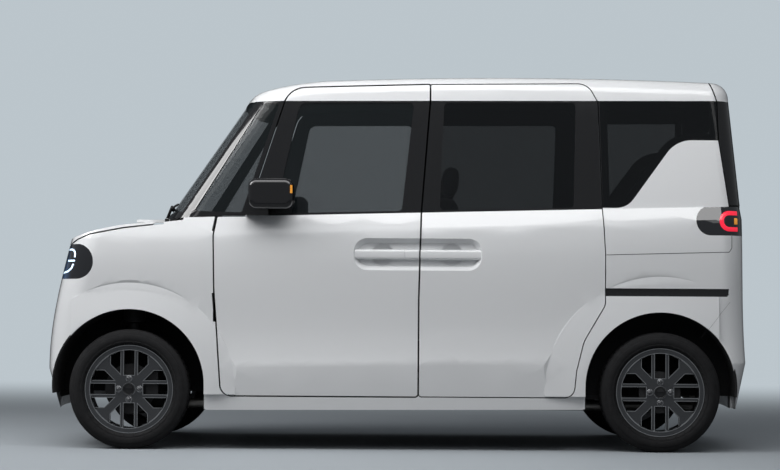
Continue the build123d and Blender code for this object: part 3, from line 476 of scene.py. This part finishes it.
# Slide-rail slot in the quarters: its ends, its heights and how far out its floor lies
SLOT_X = (0.964, 1.588)
SLOT_Z = (0.732, 0.769)
SLOT_FLOOR = 0.714
SLOT_WALL = 0.026
SLOT_REACH = 0.2


def in_slot_shadow(at, way):
    """Painted shade: the floor and upper wall of the slot that the sliding door's roller runs in, painted
    gloss black where shade falls; the lower wall, which faces up, keeps the paint.
    """
    near = 0.0005
    along = SLOT_X[0] - near < at.x < SLOT_X[1] + near and SLOT_Z[0] - near < at.z < SLOT_Z[1] + near
    return along and SLOT_FLOOR - near < abs(at.y) < SLOT_FLOOR + SLOT_WALL and way.z < 0.5


MIRROR_BACK = (-0.475, 0.80, 1.198)
MIRROR_SIZE = (0.004, 0.112, 0.098)
MIRROR_SINK = 0.022
MIRROR_PLAY = 0.003
MIRROR_CORNER = 0.030
MIRROR_EDGE = 0.001
quarters = bpy.data.objects["body_sides_skin"]
# Third finish of the quarters: gloss black, used only as painted shade in the slide-rail slot.
quarters.data.materials.append(BLACK)
for side, tail in SIDES:
    handles(side, tail)
    slot_middle = (sum(SLOT_X) / 2, side * (SLOT_FLOOR + SLOT_REACH / 2), sum(SLOT_Z) / 2)
    carve(quarters, block((SLOT_X[1] - SLOT_X[0], SLOT_REACH, SLOT_Z[1] - SLOT_Z[0]), slot_middle))
    x, y, z = MIRROR_BACK
    thick, wide, tall = MIRROR_SIZE
    pocket = block((2 * MIRROR_SINK, wide + 2 * MIRROR_PLAY, tall + 2 * MIRROR_PLAY), (x, side * y, z),
                   MIRROR_CORNER + MIRROR_PLAY, axis=0)
    carve(bpy.data.objects["mirror_%s_skin" % tail], pocket)
    piece = block(MIRROR_SIZE, (x - MIRROR_SINK + thick / 2, side * y, z), MIRROR_CORNER, axis=0)
    soften(piece, MIRROR_EDGE)
    settle(piece, "mirror_glass_" + tail, "front_door_" + tail, "clear_glass", MIRROR)
# Painted shade: the slot's floor and upper wall take the gloss black.
paint_faces(quarters, 2, in_slot_shadow)

# Lower intake in the front bumper, with slats and a dark wall behind them
INTAKE_SIZE = (0.40, 0.86, 0.076)
INTAKE_AT = (-1.70, 0, 0.285)
INTAKE_CORNER = 0.032
SLAT_X = -1.640
SLAT_SIZE = (0.020, INTAKE_SIZE[1] + 0.02, 0.006)
SLAT_LIFTS = (-0.019, 0.0, 0.019)
SLAT_CORNER = 0.002
WALL_X = SLAT_X + 0.03
WALL_SIZE = (0.006, INTAKE_SIZE[1] + 0.04, INTAKE_SIZE[2] + 0.03)
WALL_CORNER = 0.02
carve(bpy.data.objects["front_bumper_skin"], block(INTAKE_SIZE, INTAKE_AT, INTAKE_CORNER, axis=0))
for number, lift in enumerate(SLAT_LIFTS):
    piece = block(SLAT_SIZE, (SLAT_X, 0, INTAKE_AT[2] + lift), SLAT_CORNER, axis=1, steps=2)
    settle(piece, "intake_slat_%d" % number, "body", "dark_trim", PLASTIC)
wall = block(WALL_SIZE, (WALL_X, 0, INTAKE_AT[2]), WALL_CORNER, axis=0)
settle(wall, "intake_wall", "body", "dark_trim", FELT)

# Even shading over the carved panels
for name in body_of_node:
    skin = bpy.data.objects.get(name + "_skin")
    if skin:
        smooth(skin)
        modify(skin, "WEIGHTED_NORMAL", weight=60, keep_sharp=True)

# Seats

VOXEL = 0.010
SWELL_CAP = 0.016
CLOTH_FRAMES = 20
CHANNEL_DEPTH = 0.007
CHANNEL_SPREAD = 0.008
PRESSURE = 4
PAD_CORNER = 0.36
SEAT_LEAN = math.radians(13)
CUSHION_LEAN = math.radians(-2)
CUSHION_LENGTH = 0.50
CUSHION_THICK = 0.16
CUSHION_SINK = 0.075
BACK_THICK = 0.12
BACK_BEHIND = 0.513
BACK_EXTRA = 0.10
BACK_DROP = 0.04
HEAD_THICK = 0.09
HEAD_HEIGHT = 0.155
HEAD_BEHIND = 0.595
HEAD_RISE = 0.075
SHIELD_RIM = 0.018
SHIELD_SINK = 0.006
SHELL_EDGE = 0.006


def swell(piece):
    """Blows a smooth block up with cloth under pressure, holding every point within the cap."""
    only(piece)
    piece.data.remesh_voxel_size = VOXEL
    bpy.ops.object.voxel_remesh()
    start = [point.co.copy() for point in piece.data.vertices]
    modifier = piece.modifiers.new("Cloth", "CLOTH")
    modifier.settings.use_pressure = True
    modifier.settings.uniform_pressure_force = PRESSURE
    modifier.settings.effector_weights.gravity = 0
    modifier.settings.quality = 3
    modifier.point_cache.frame_end = CLOTH_FRAMES
    for step in range(1, CLOTH_FRAMES + 1):
        bpy.context.scene.frame_set(step)
    only(piece)
    bpy.ops.object.modifier_apply(modifier=modifier.name)
    for point, home in zip(piece.data.vertices, start):
        move = point.co - home
        point.co = home + move * min(1.0, SWELL_CAP / max(move.length, 1e-9))
    bpy.context.scene.frame_set(1)


def seam_pull(place, channels):
    """How hard the sewn channels pull at a place: 1 on a seam, fading to 0 beside it."""
    pulls = [math.exp(-(((place[axis] - at) / CHANNEL_SPREAD) ** 2)) for axis, at in channels]
    return max(pulls, default=0)


def pad(size, middle, lean, channels):
    """A padded block: bevelled, swollen, sewn down along its channels and leaned back about its middle."""
    bpy.ops.mesh.primitive_cube_add(size=1, scale=[part - SWELL_CAP for part in size])
    piece = bpy.context.object
    only(piece)
    bpy.ops.object.transform_apply(scale=True)
    modify(piece, "BEVEL", width=PAD_CORNER * min(size), segments=5)
    swell(piece)
    sewn = [seam_pull(point.co, channels) for point in piece.data.vertices]
    moved = [point.co - CHANNEL_DEPTH * pull * point.normal for point, pull in zip(piece.data.vertices, sewn)]
    for point, place in zip(piece.data.vertices, moved):
        point.co = place
    modify(piece, "SUBSURF", levels=1, render_levels=1)
    piece.rotation_euler = (0, lean, 0)
    piece.location = middle
    return piece


def shell(size, middle, name):
    """A moulded plastic seat base with bevelled edges and an inset side shield."""
    bpy.ops.mesh.primitive_cube_add(size=1, scale=size, location=middle)
    piece = bpy.context.object
    only(piece)
    bpy.ops.object.transform_apply(location=True, scale=True)
    pick(piece, lambda at, way: abs(way.y) > FACING)
    bpy.ops.mesh.inset(thickness=SHIELD_RIM, depth=-SHIELD_SINK)
    done()
    soften(piece, SHELL_EDGE)
    return settle(piece, name, "body", "dark_trim", PLASTIC)


def seat(width, front, cushion_top, back_top, heads, cushion_channels, back_channels):
    """Cushion, raked back and head restraints in the space of one CAD seat."""
    cushion_size = (CUSHION_LENGTH, width, CUSHION_THICK)
    cushion_at = Vector((front + CUSHION_LENGTH / 2, 0, cushion_top - CUSHION_SINK))
    back_height = (back_top - cushion_top) / math.cos(SEAT_LEAN) + BACK_EXTRA
    back_size = (BACK_THICK, width, back_height)
    back_at = Vector((front + BACK_BEHIND, 0, (back_top + cushion_top) / 2 - BACK_DROP))
    parts = [("cushion", cushion_size, cushion_at, CUSHION_LEAN, cushion_channels),
             ("back", back_size, back_at, SEAT_LEAN, back_channels)]
    for number, (shift, head_width) in enumerate(heads):
        head_size = (HEAD_THICK, head_width, HEAD_HEIGHT)
        head_at = Vector((front + HEAD_BEHIND, shift, back_top + HEAD_RISE))
        parts.append(("head_%d" % number, head_size, head_at, SEAT_LEAN / 2, []))
    return [(label, pad(size, middle, lean, channels)) for label, size, middle, lean, channels in parts]


FRONT_SEAT_Y = 0.33
# Seat bases: size, and the middle's X and Z
FRONT_BASE = ((0.36, 0.38, 0.22), -0.07, 0.41)
BENCH_BASE = ((0.25, 0.96, 0.16), 1.025, 0.52)
# Head restraints: place across the seat and width
FRONT_HEADS = [(0.0, 0.25)]
BENCH_HEADS = [(-0.29, 0.22), (0.29, 0.22)]
# Sewn channels: the axis that each one is set along, and how far from the pad's middle
FRONT_CHANNELS = [(1, -0.135), (1, 0.135), (0, -0.02), (0, 0.11)]
FRONT_BACK_CHANNELS = [(1, -0.135), (1, 0.135), (2, -0.06), (2, 0.09)]
BENCH_CHANNELS = [(1, 0.0), (1, -0.40), (1, 0.40), (1, -0.13), (1, 0.13), (0, 0.04)]
BENCH_BACK_CHANNELS = [(1, 0.0), (1, -0.40), (1, 0.40), (1, -0.13), (1, 0.13), (2, 0.02)]


def twin(piece):
    """A second object with its own copy of the mesh."""
    copy = piece.copy()
    copy.data = piece.data.copy()
    bpy.context.scene.collection.objects.link(copy)
    return copy


def upholster(piece, name, node, y):
    piece.location.y += y
    settle(piece, name, "body", "seat_cloth", CLOTH)
    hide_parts(node)


front_pads = seat(width=0.47, front=-0.33, cushion_top=0.66, back_top=1.21, heads=FRONT_HEADS,
                  cushion_channels=FRONT_CHANNELS, back_channels=FRONT_BACK_CHANNELS)
for label, piece in front_pads:
    other = twin(piece)
    upholster(piece, "front_%s_l" % label, "front_seats", -FRONT_SEAT_Y)
    upholster(other, "front_%s_r" % label, "front_seats", FRONT_SEAT_Y)
bench_pads = seat(width=1.06, front=0.70, cushion_top=0.775, back_top=1.26, heads=BENCH_HEADS,
                  cushion_channels=BENCH_CHANNELS, back_channels=BENCH_BACK_CHANNELS)
for label, piece in bench_pads:
    upholster(piece, "rear_" + label, "rear_seat", 0)
for side, tail in SIDES:
    size, x, z = FRONT_BASE
    shell(size, (x, side * FRONT_SEAT_Y, z), "front_seat_base_" + tail)
size, x, z = BENCH_BASE
shell(size, (x, 0, z), "rear_seat_base")


# Wheels

WHEELS = ["fl", "fr", "rl", "rr"]
TYRE_SEGMENTS = 180
TREAD_HALF = 0.054
GROOVES = [(-0.034, -0.029), (-0.012, -0.007), (0.007, 0.012), (0.029, 0.034)]
GROOVE_DEPTH = 0.007
SIPE_EVERY = 6
SIPE_DEPTH = 0.6 * GROOVE_DEPTH
TREAD_NEAR = 0.002
EDGE_BAND = 0.0028
RIM_FACE_BACK = 0.006
RIM_FACE_NEAR = 0.0008
RIM_FLANGE_OUT = 0.004
# Radius and distance from the middle plane of each step from the tread's edge down to the bead
SIDEWALL = [(0.2795, 0.060), (0.276, 0.0665), (0.270, 0.071), (0.262, 0.0752), (0.256, 0.0768),
            (0.2545, 0.0790), (0.250, 0.0802), (0.241, 0.0815), (0.232, 0.0800), (0.226, 0.0775),
            (0.2235, 0.0785), (0.219, 0.0765), (0.214, 0.0700), (0.208, 0.0610), (0.197, 0.0540)]


def tyre(centre, radius):
    """A road tyre: a ring with four round grooves, cross cuts and a sidewall pulled out step by step."""
    bpy.ops.mesh.primitive_cylinder_add(vertices=TYRE_SEGMENTS, radius=radius, depth=2 * TREAD_HALF,
                                        end_fill_type="NOTHING", rotation=ALONG_Y)
    piece = bpy.context.object
    only(piece)
    bpy.ops.object.transform_apply(rotation=True)
    bpy.ops.object.mode_set(mode="EDIT")
    for edge in [y for groove in GROOVES for y in groove]:
        bpy.ops.mesh.select_all(action="SELECT")
        bpy.ops.mesh.bisect(plane_co=(0, edge, 0), plane_no=(0, 1, 0))
    done()
    pick(piece, lambda at, way: any(low < at.y < high for low, high in GROOVES))
    bpy.ops.mesh.extrude_region_shrink_fatten(TRANSFORM_OT_shrink_fatten={"value": -GROOVE_DEPTH})
    step = 2 * math.pi / TYRE_SEGMENTS

    def in_sipe(at, way):
        column = int(math.atan2(at.z, at.x) / step + TYRE_SEGMENTS * SIPE_EVERY)
        shoulder = abs(at.y) > GROOVES[-1][1]
        turn = 0 if shoulder else 3
        in_row = shoulder or GROOVES[-2][1] < abs(at.y) < GROOVES[-1][0]
        outside = math.hypot(at.x, at.z) > radius - TREAD_NEAR
        return in_row and outside and column % SIPE_EVERY == turn

    pick(piece, in_sipe)
    bpy.ops.mesh.extrude_region_shrink_fatten(TRANSFORM_OT_shrink_fatten={"value": -SIPE_DEPTH})
    for side in (-1, 1):
        done()
        last = (radius, TREAD_HALF)
        pick_edges(piece, lambda a, b: all(abs(end.y - side * TREAD_HALF) < SAME_PLACE for end in (a, b)))
        for reach, out in SIDEWALL:
            bpy.ops.mesh.extrude_region_move(TRANSFORM_OT_translate={"value": (0, side * (out - last[1]), 0)})
            scale = reach / last[0]
            bpy.ops.transform.resize(value=(scale, 1, scale), center_override=(0, side * out, 0))
            last = (reach, out)
    bpy.ops.mesh.select_all(action="SELECT")
    bpy.ops.mesh.remove_doubles(threshold=SAME_PLACE)
    bpy.ops.mesh.normals_make_consistent(inside=False)
    done()
    piece.location = centre
    return piece


def rim(name, side):
    """The CAD rim with dark faces and bright edges round its openings; returns how far out its face is."""
    piece = panel("rim_" + name, "wheel_alloy", GUNMETAL, MACHINED)
    low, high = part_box("rim_" + name)
    face = max(abs(low.y), abs(high.y)) - RIM_FACE_BACK
    for test in (lambda at, way: way.y * side > FACING and abs(abs(at.y) - face) < RIM_FACE_NEAR,
                 lambda at, way: way.y * side > FACING and abs(at.y) > face + RIM_FLANGE_OUT):
        paint_faces(piece, 1, test)
        pick(piece, test)
        bpy.ops.mesh.inset(thickness=EDGE_BAND, depth=0.0, use_boundary=True)
        piece.active_material_index = 0
        bpy.ops.object.material_slot_assign()
        done()
    return face


NUT_CIRCLE = 0.049
NUT_R = 0.0105
NUT_HEIGHT = 0.014
SEAT_R = 0.0155
CAP_R = 0.029
CAP_HEIGHT = 0.010
TURNED_EDGE = 0.0012


def turned(sides, radius, depth, insets):
    """A round or six-sided piece on the Y axis, its front (-Y) face stepped by insets (width, height)."""
    bpy.ops.mesh.primitive_cylinder_add(vertices=sides, radius=radius, depth=depth, rotation=ALONG_Y)
    piece = bpy.context.object
    only(piece)
    bpy.ops.object.transform_apply(rotation=True)
    pick(piece, lambda at, way: way.y < -FACING)
    for width, height in insets:
        bpy.ops.mesh.inset(thickness=width, depth=height)
    done()
    soften(piece, TURNED_EDGE)
    return piece


def spread(piece, centre, face, side, places):
    """Copies of a piece at places (x, z) round a wheel's centre, joined into one and turned to its side."""
    copies = []
    for x, z in places:
        copy = twin(piece)
        copy.rotation_euler = (0, 0, math.pi if side > 0 else 0)
        copy.location = (centre.x + x, side * face, centre.z + z)
        copies.append(copy)
    only(copies[0])
    for copy in copies[1:]:
        copy.select_set(True)
    bpy.ops.object.join()
    return copies[0]


NUT = turned(6, NUT_R, 2 * NUT_HEIGHT, [(0.003, 0.0), (0.002, 0.004)])
NUT_SEAT = turned(32, SEAT_R, 0.004, [(0.002, 0.0), (0.004, -0.0015)])
CAP = turned(40, CAP_R, 2 * CAP_HEIGHT, [(0.004, 0.0), (0.0015, -0.0012), (0.010, 0.0012)])
NUT_PLACES = [(NUT_CIRCLE, 0), (0, NUT_CIRCLE), (-NUT_CIRCLE, 0), (0, -NUT_CIRCLE)]
# Piece that is copied, name, places round the wheel's centre, slot and finish
WHEEL_METAL = [
    (NUT, "wheel_nuts_", NUT_PLACES, "wheel_alloy", DARK_CHROME),
    (NUT_SEAT, "nut_seats_", NUT_PLACES, "wheel_alloy", MACHINED),
    (CAP, "centre_cap_", [(0, 0)], "gloss_black", BLACK),
]

for name in WHEELS:
    low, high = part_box("tyre_" + name)
    centre = (low + high) / 2
    side = math.copysign(1, centre.y)
    body = "wheel_" + name
    tread = settle(tyre(centre, (high.z - low.z) / 2), "tyre_" + name + "_tread", body, "tyre", RUBBER)
    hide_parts("tyre_" + name)
    face = rim(name, side)
    for piece, label, places, slot, material in WHEEL_METAL:
        settle(spread(piece, centre, face, side, places), label + name, body, slot, material)
for row in WHEEL_METAL:
    bpy.data.objects.remove(row[0])


# Lit and bright details that lie on the surface of a CAD piece


def surface(node):
    """The node's mesh as a tree that can be searched along a ray."""
    mesh = nodes[node].data
    corners = [face.vertices[:] for face in mesh.polygons]
    return BVHTree.FromPolygons([point.co for point in mesh.vertices], corners)


def route(places):
    """A curve of straight stretches through places, closed at its ends once it has a section."""
    bpy.ops.curve.primitive_nurbs_path_add()
    curve = bpy.context.object
    curve.data.splines.clear()
    spline = curve.data.splines.new("POLY")
    spline.points.add(len(places) - 1)
    for point, place in zip(spline.points, places):
        point.co = (*place, 1)
    curve.data.use_fill_caps = True
    return curve


def strip(points, width, thick):
    """A flat bar with rounded edges along points (x, z) in the XZ plane, made from a bevelled curve."""
    bpy.ops.curve.primitive_bezier_circle_add(radius=0.5)
    section = bpy.context.object
    section.scale = (width, thick, 1)
    only(section)
    bpy.ops.object.transform_apply(scale=True)
    section.data.resolution_u = 3
    bar = route([(x, z, 0) for x, z in points])
    bar.data.twist_mode = "Z_UP"
    bar.data.bevel_mode = "OBJECT"
    bar.data.bevel_object = section
    only(bar)
    bpy.ops.object.convert(target="MESH")
    bpy.data.objects.remove(section)
    bar.rotation_euler = ALONG_Y
    bpy.ops.object.transform_apply(rotation=True)
    bpy.ops.object.mode_set(mode="EDIT")
    bpy.ops.mesh.select_all(action="SELECT")
    bpy.ops.mesh.normals_make_consistent(inside=False)
    done()
    return bar


def fine(points, step=0.003):
    """The same path with points close enough to follow a curved face."""
    dense = []
    for (x0, z0), (x1, z1) in zip(points, points[1:]):
        count = max(1, round(math.hypot(x1 - x0, z1 - z0) / step))
        dense += [(x0 + (x1 - x0) * i / count, z0 + (z1 - z0) * i / count) for i in range(count)]
    return dense + [points[-1]]


def arc(x, z, radius, start, end, count=12):
    """Points of a round stretch, with angles in degrees from +X towards +Z."""
    turns = [math.radians(start + (end - start) * i / count) for i in range(count + 1)]
    return [(x + radius * math.cos(turn), z + radius * math.sin(turn)) for turn in turns]


def lay(name, node, side, points, width, thick, slot, material):
    """A strip laid on the outer face of a node, seen from that side."""
    piece = strip(fine(points), width, thick)
    tree = surface(node)
    for point in piece.data.vertices:
        hit = tree.ray_cast(Vector((point.co.x, side * 2, point.co.z)), Vector((0, -side, 0)))[0]
        point.co.y += hit.y if hit else side * 0.7
    return settle(piece, name, body_of_node[node], slot, material)


# Day running lights: an upper hook, a short bar and a lower hook
UPPER_HOOK = [(-1.562, 0.9375), (-1.545, 0.936)] + arc(-1.533, 0.915, 0.0215, 90, 0) + [(-1.5115, 0.899)]
MIDDLE_BAR = [(-1.549, 0.883), (-1.5105, 0.883)]
LOWER_HOOK = [(-1.5185, 0.868), (-1.527, 0.848), (-1.546, 0.833), (-1.582, 0.824)]
DRL_WIDTH = 0.0085
# Tail lamp: a ring open to the rear
RING_X = 1.5705
RING_Z = 1.0882
RING_R = 0.0385
RING_END = 1.612
RING_BEND = arc(RING_X, RING_Z, RING_R, 90, 270, 24)
RING = [(RING_END, RING_Z + RING_R)] + RING_BEND + [(RING_END, RING_Z - RING_R)]
RING_WIDTH = 0.0205
GUIDE_THICK = 0.004
TAIL_AMBER = [(1.594, RING_Z), (1.611, RING_Z)]
TAIL_AMBER_WIDTH = 0.030
TAIL_AMBER_THICK = 0.005
COVER_SEAM = [(0.985, 0.925), (1.568, 0.942), (1.581, 0.961), (1.581, 1.025)]
BUMPER_SEAM = [(1.440, 0.540), (1.575, 0.707)]
SEAM_WIDTH = 0.003
SEAM_THICK = 0.0012
REPEATER = [(-0.4845, 1.199), (-0.4845, 1.236)]
REPEATER_WIDTH = 0.0105
REPEATER_THICK = 0.003

for side, tail in SIDES:
    for label, points in (("hook", UPPER_HOOK), ("bar", MIDDLE_BAR), ("sweep", LOWER_HOOK)):
        lay("running_light_%s_%s" % (label, tail), "headlamps", side, points, DRL_WIDTH, GUIDE_THICK,
            "lamp_lens", DAYLIGHT)
    lay("tail_ring_" + tail, "tail_lamps", side, RING, RING_WIDTH, GUIDE_THICK, "tail_lens", RED)
    lay("tail_amber_" + tail, "tail_lamps", side, TAIL_AMBER, TAIL_AMBER_WIDTH, TAIL_AMBER_THICK,
        "tail_lens", AMBER)
    for label, points in (("cover", COVER_SEAM), ("bumper", BUMPER_SEAM)):
        lay("seam_%s_%s" % (label, tail), "body_sides", side, points, SEAM_WIDTH, SEAM_THICK,
            "dark_trim", FELT)
    lay("mirror_repeater_" + tail, "mirror_" + tail, side, REPEATER, REPEATER_WIDTH, REPEATER_THICK,
        "lamp_lens", AMBER)


# Wipers, parked along the foot of the windscreen


def rod(points, radius, sides=3):
    """A round bar through points, made from a bevelled curve."""
    bar = route(points)
    bar.data.bevel_depth = radius
    bar.data.bevel_resolution = sides
    only(bar)
    bpy.ops.object.convert(target="MESH")
    return bar


# Pivot, blade start and blade end across the car
WIPERS = [("driver", 0.52, 0.36, -0.18), ("passenger", 0.02, -0.10, -0.56)]
BLADE_Z = (1.140, 1.150)
BLADE_STEPS = 16
BLADE_R = 0.0055
BLADE_LIFT = 0.012
PIVOT_Z = 1.072
PIVOT_AHEAD = 0.05
ARM_R = 0.0075
ARM_BEND = Vector((-0.008, 0, 0.016))
ARM_TIP = Vector((-0.006, 0, 0.004))
screen = surface("front_glass")


def on_screen(y, z, lift):
    """A point just off the outside of the windscreen."""
    hit, way = screen.ray_cast(Vector((-3, y, z)), Vector((1, 0, 0)))[:2]
    return hit + lift * way


for label, pivot, start, end in WIPERS:
    low_z, high_z = BLADE_Z
    shares = [i / BLADE_STEPS for i in range(BLADE_STEPS + 1)]
    blade = [on_screen(start + (end - start) * share, low_z + (high_z - low_z) * share, BLADE_LIFT)
             for share in shares]
    settle(rod(blade, BLADE_R), "wiper_blade_" + label, "body", "dark_trim", PLASTIC)
    foot = on_screen(pivot, low_z, 0.0) + Vector((-PIVOT_AHEAD, 0, PIVOT_Z - low_z))
    middle = blade[BLADE_STEPS // 2]
    arm = [foot, foot.lerp(middle, 0.25) + ARM_BEND, middle + ARM_TIP]
    settle(rod(arm, ARM_R), "wiper_arm_" + label, "body", "dark_trim", PLASTIC)


# Floor, light and camera

FLOOR_SIZE = 60
BACKDROP_HEIGHT = 30
BACKDROP_SWEEP = 12.0
FLOOR_COLOUR = (0.40, 0.435, 0.465)
FLOOR_BOUNCE = (0.16, 0.17, 0.18)
BACKDROP_COLOUR = (0.50, 0.56, 0.60)
BACKDROP_START = 2.5
BACKDROP_FULL = 9.0


def studio_floor_finish():
    """Pale matt floor with little bounce, which turns into an even backdrop behind the car."""
    material = finish("studio_floor", FLOOR_COLOUR, 0.6)
    mottle(material, tuple(0.99 * c for c in FLOOR_COLOUR), FLOOR_COLOUR, 0.4)
    tree = material.node_tree
    shader = tree.nodes["Principled BSDF"]
    path = tree.nodes.new("ShaderNodeLightPath")
    tone = tree.nodes.new("ShaderNodeMix")
    tone.data_type = "RGBA"
    tone.inputs["A"].default_value = (*FLOOR_BOUNCE, 1)
    tree.links.new(path.outputs["Is Camera Ray"], tone.inputs["Factor"])
    tree.links.new(tree.nodes["Color Ramp"].outputs["Color"], tone.inputs["B"])
    tree.links.new(tone.outputs["Result"], shader.inputs["Base Color"])
    place = tree.nodes.new("ShaderNodeTexCoord")
    split = tree.nodes.new("ShaderNodeSeparateXYZ")
    fade = tree.nodes.new("ShaderNodeMapRange")
    fade.interpolation_type = "SMOOTHSTEP"
    fade.inputs["From Min"].default_value = BACKDROP_START
    fade.inputs["From Max"].default_value = BACKDROP_FULL
    seen = tree.nodes.new("ShaderNodeMath")
    seen.operation = "MULTIPLY"
    glow = tree.nodes.new("ShaderNodeEmission")
    glow.inputs["Color"].default_value = (*BACKDROP_COLOUR, 1)
    mix = tree.nodes.new("ShaderNodeMixShader")
    tree.links.new(place.outputs["Object"], split.inputs["Vector"])
    tree.links.new(split.outputs["Y"], fade.inputs["Value"])
    tree.links.new(fade.outputs["Result"], seen.inputs[0])
    tree.links.new(path.outputs["Is Camera Ray"], seen.inputs[1])
    tree.links.new(seen.outputs["Value"], mix.inputs["Fac"])
    tree.links.new(shader.outputs["BSDF"], mix.inputs[1])
    tree.links.new(glow.outputs["Emission"], mix.inputs[2])
    tree.links.new(mix.outputs["Shader"], tree.nodes["Material Output"].inputs["Surface"])
    return material


# Lamp name, place, aim, width and height, power
LAMPS = [
    ("over", (-0.6, -2.4, 3.6), (-0.2, 0, 0.8), (6.0, 1.6), 108),
    ("front", (-4.6, -1.6, 3.6), (-1.1, 0, 0.9), (2.6, 2.2), 120),
    ("side", (-0.5, -8.7, 5.6), (0, -0.7, 1.2), (14.0, 2.0), 80),
]
WORLD_COLOUR = (0.90, 0.95, 1.0)
WORLD_STRENGTH = 0.20


def studio():
    """Floor swept up into a backdrop, even sky and three soft lamps."""
    bpy.ops.mesh.primitive_plane_add(size=FLOOR_SIZE)
    floor = bpy.context.object
    floor.name = "studio_floor"
    pick_edges(floor, lambda a, b: min(a.y, b.y) > 0)
    bpy.ops.mesh.extrude_region_move(TRANSFORM_OT_translate={"value": (0, 0, BACKDROP_HEIGHT)})
    done()
    modify(floor, "BEVEL", width=BACKDROP_SWEEP, segments=24, affect="EDGES")
    smooth(floor, math.radians(40))
    floor.data.materials.append(studio_floor_finish())

    world = bpy.data.worlds.new("studio")
    bpy.context.scene.world = world
    world.use_nodes = True
    sky = world.node_tree.nodes["Background"]
    sky.inputs["Color"].default_value = (*WORLD_COLOUR, 1)
    sky.inputs["Strength"].default_value = WORLD_STRENGTH
    for name, place, aim, size, power in LAMPS:
        bpy.ops.object.light_add(type="AREA", location=place)
        lamp = bpy.context.object
        lamp.name = "lamp_" + name
        lamp.data.shape = "RECTANGLE"
        lamp.data.size, lamp.data.size_y = size
        lamp.data.energy = power
        lamp.rotation_mode = "QUATERNION"
        lamp.rotation_quaternion = (Vector(aim) - Vector(place)).to_track_quat("-Z", "Y")


def camera():
    data = bpy.data.cameras.new("camera")
    data.sensor_width = SENSOR
    data.lens = FOCAL_PIXELS / IMAGE_WIDTH * SENSOR
    piece = bpy.data.objects.new("camera", data)
    bpy.context.scene.collection.objects.link(piece)
    piece.location = (0, -NEAR_FACE - CAMERA_DISTANCE, CAMERA_HEIGHT)
    pitch = HORIZON_BELOW_CENTRE / FOCAL_PIXELS
    yaw = AXIS_RIGHT_OF_CENTRE / FOCAL_PIXELS
    look = Vector((-math.sin(yaw), math.cos(yaw), math.tan(pitch)))
    piece.rotation_mode = "QUATERNION"
    piece.rotation_quaternion = look.to_track_quat("-Z", "Y") @ Quaternion((0, 0, 1), CAMERA_ROLL)
    bpy.context.scene.camera = piece


studio()
camera()
bpy.context.scene.view_settings.view_transform = "Standard"
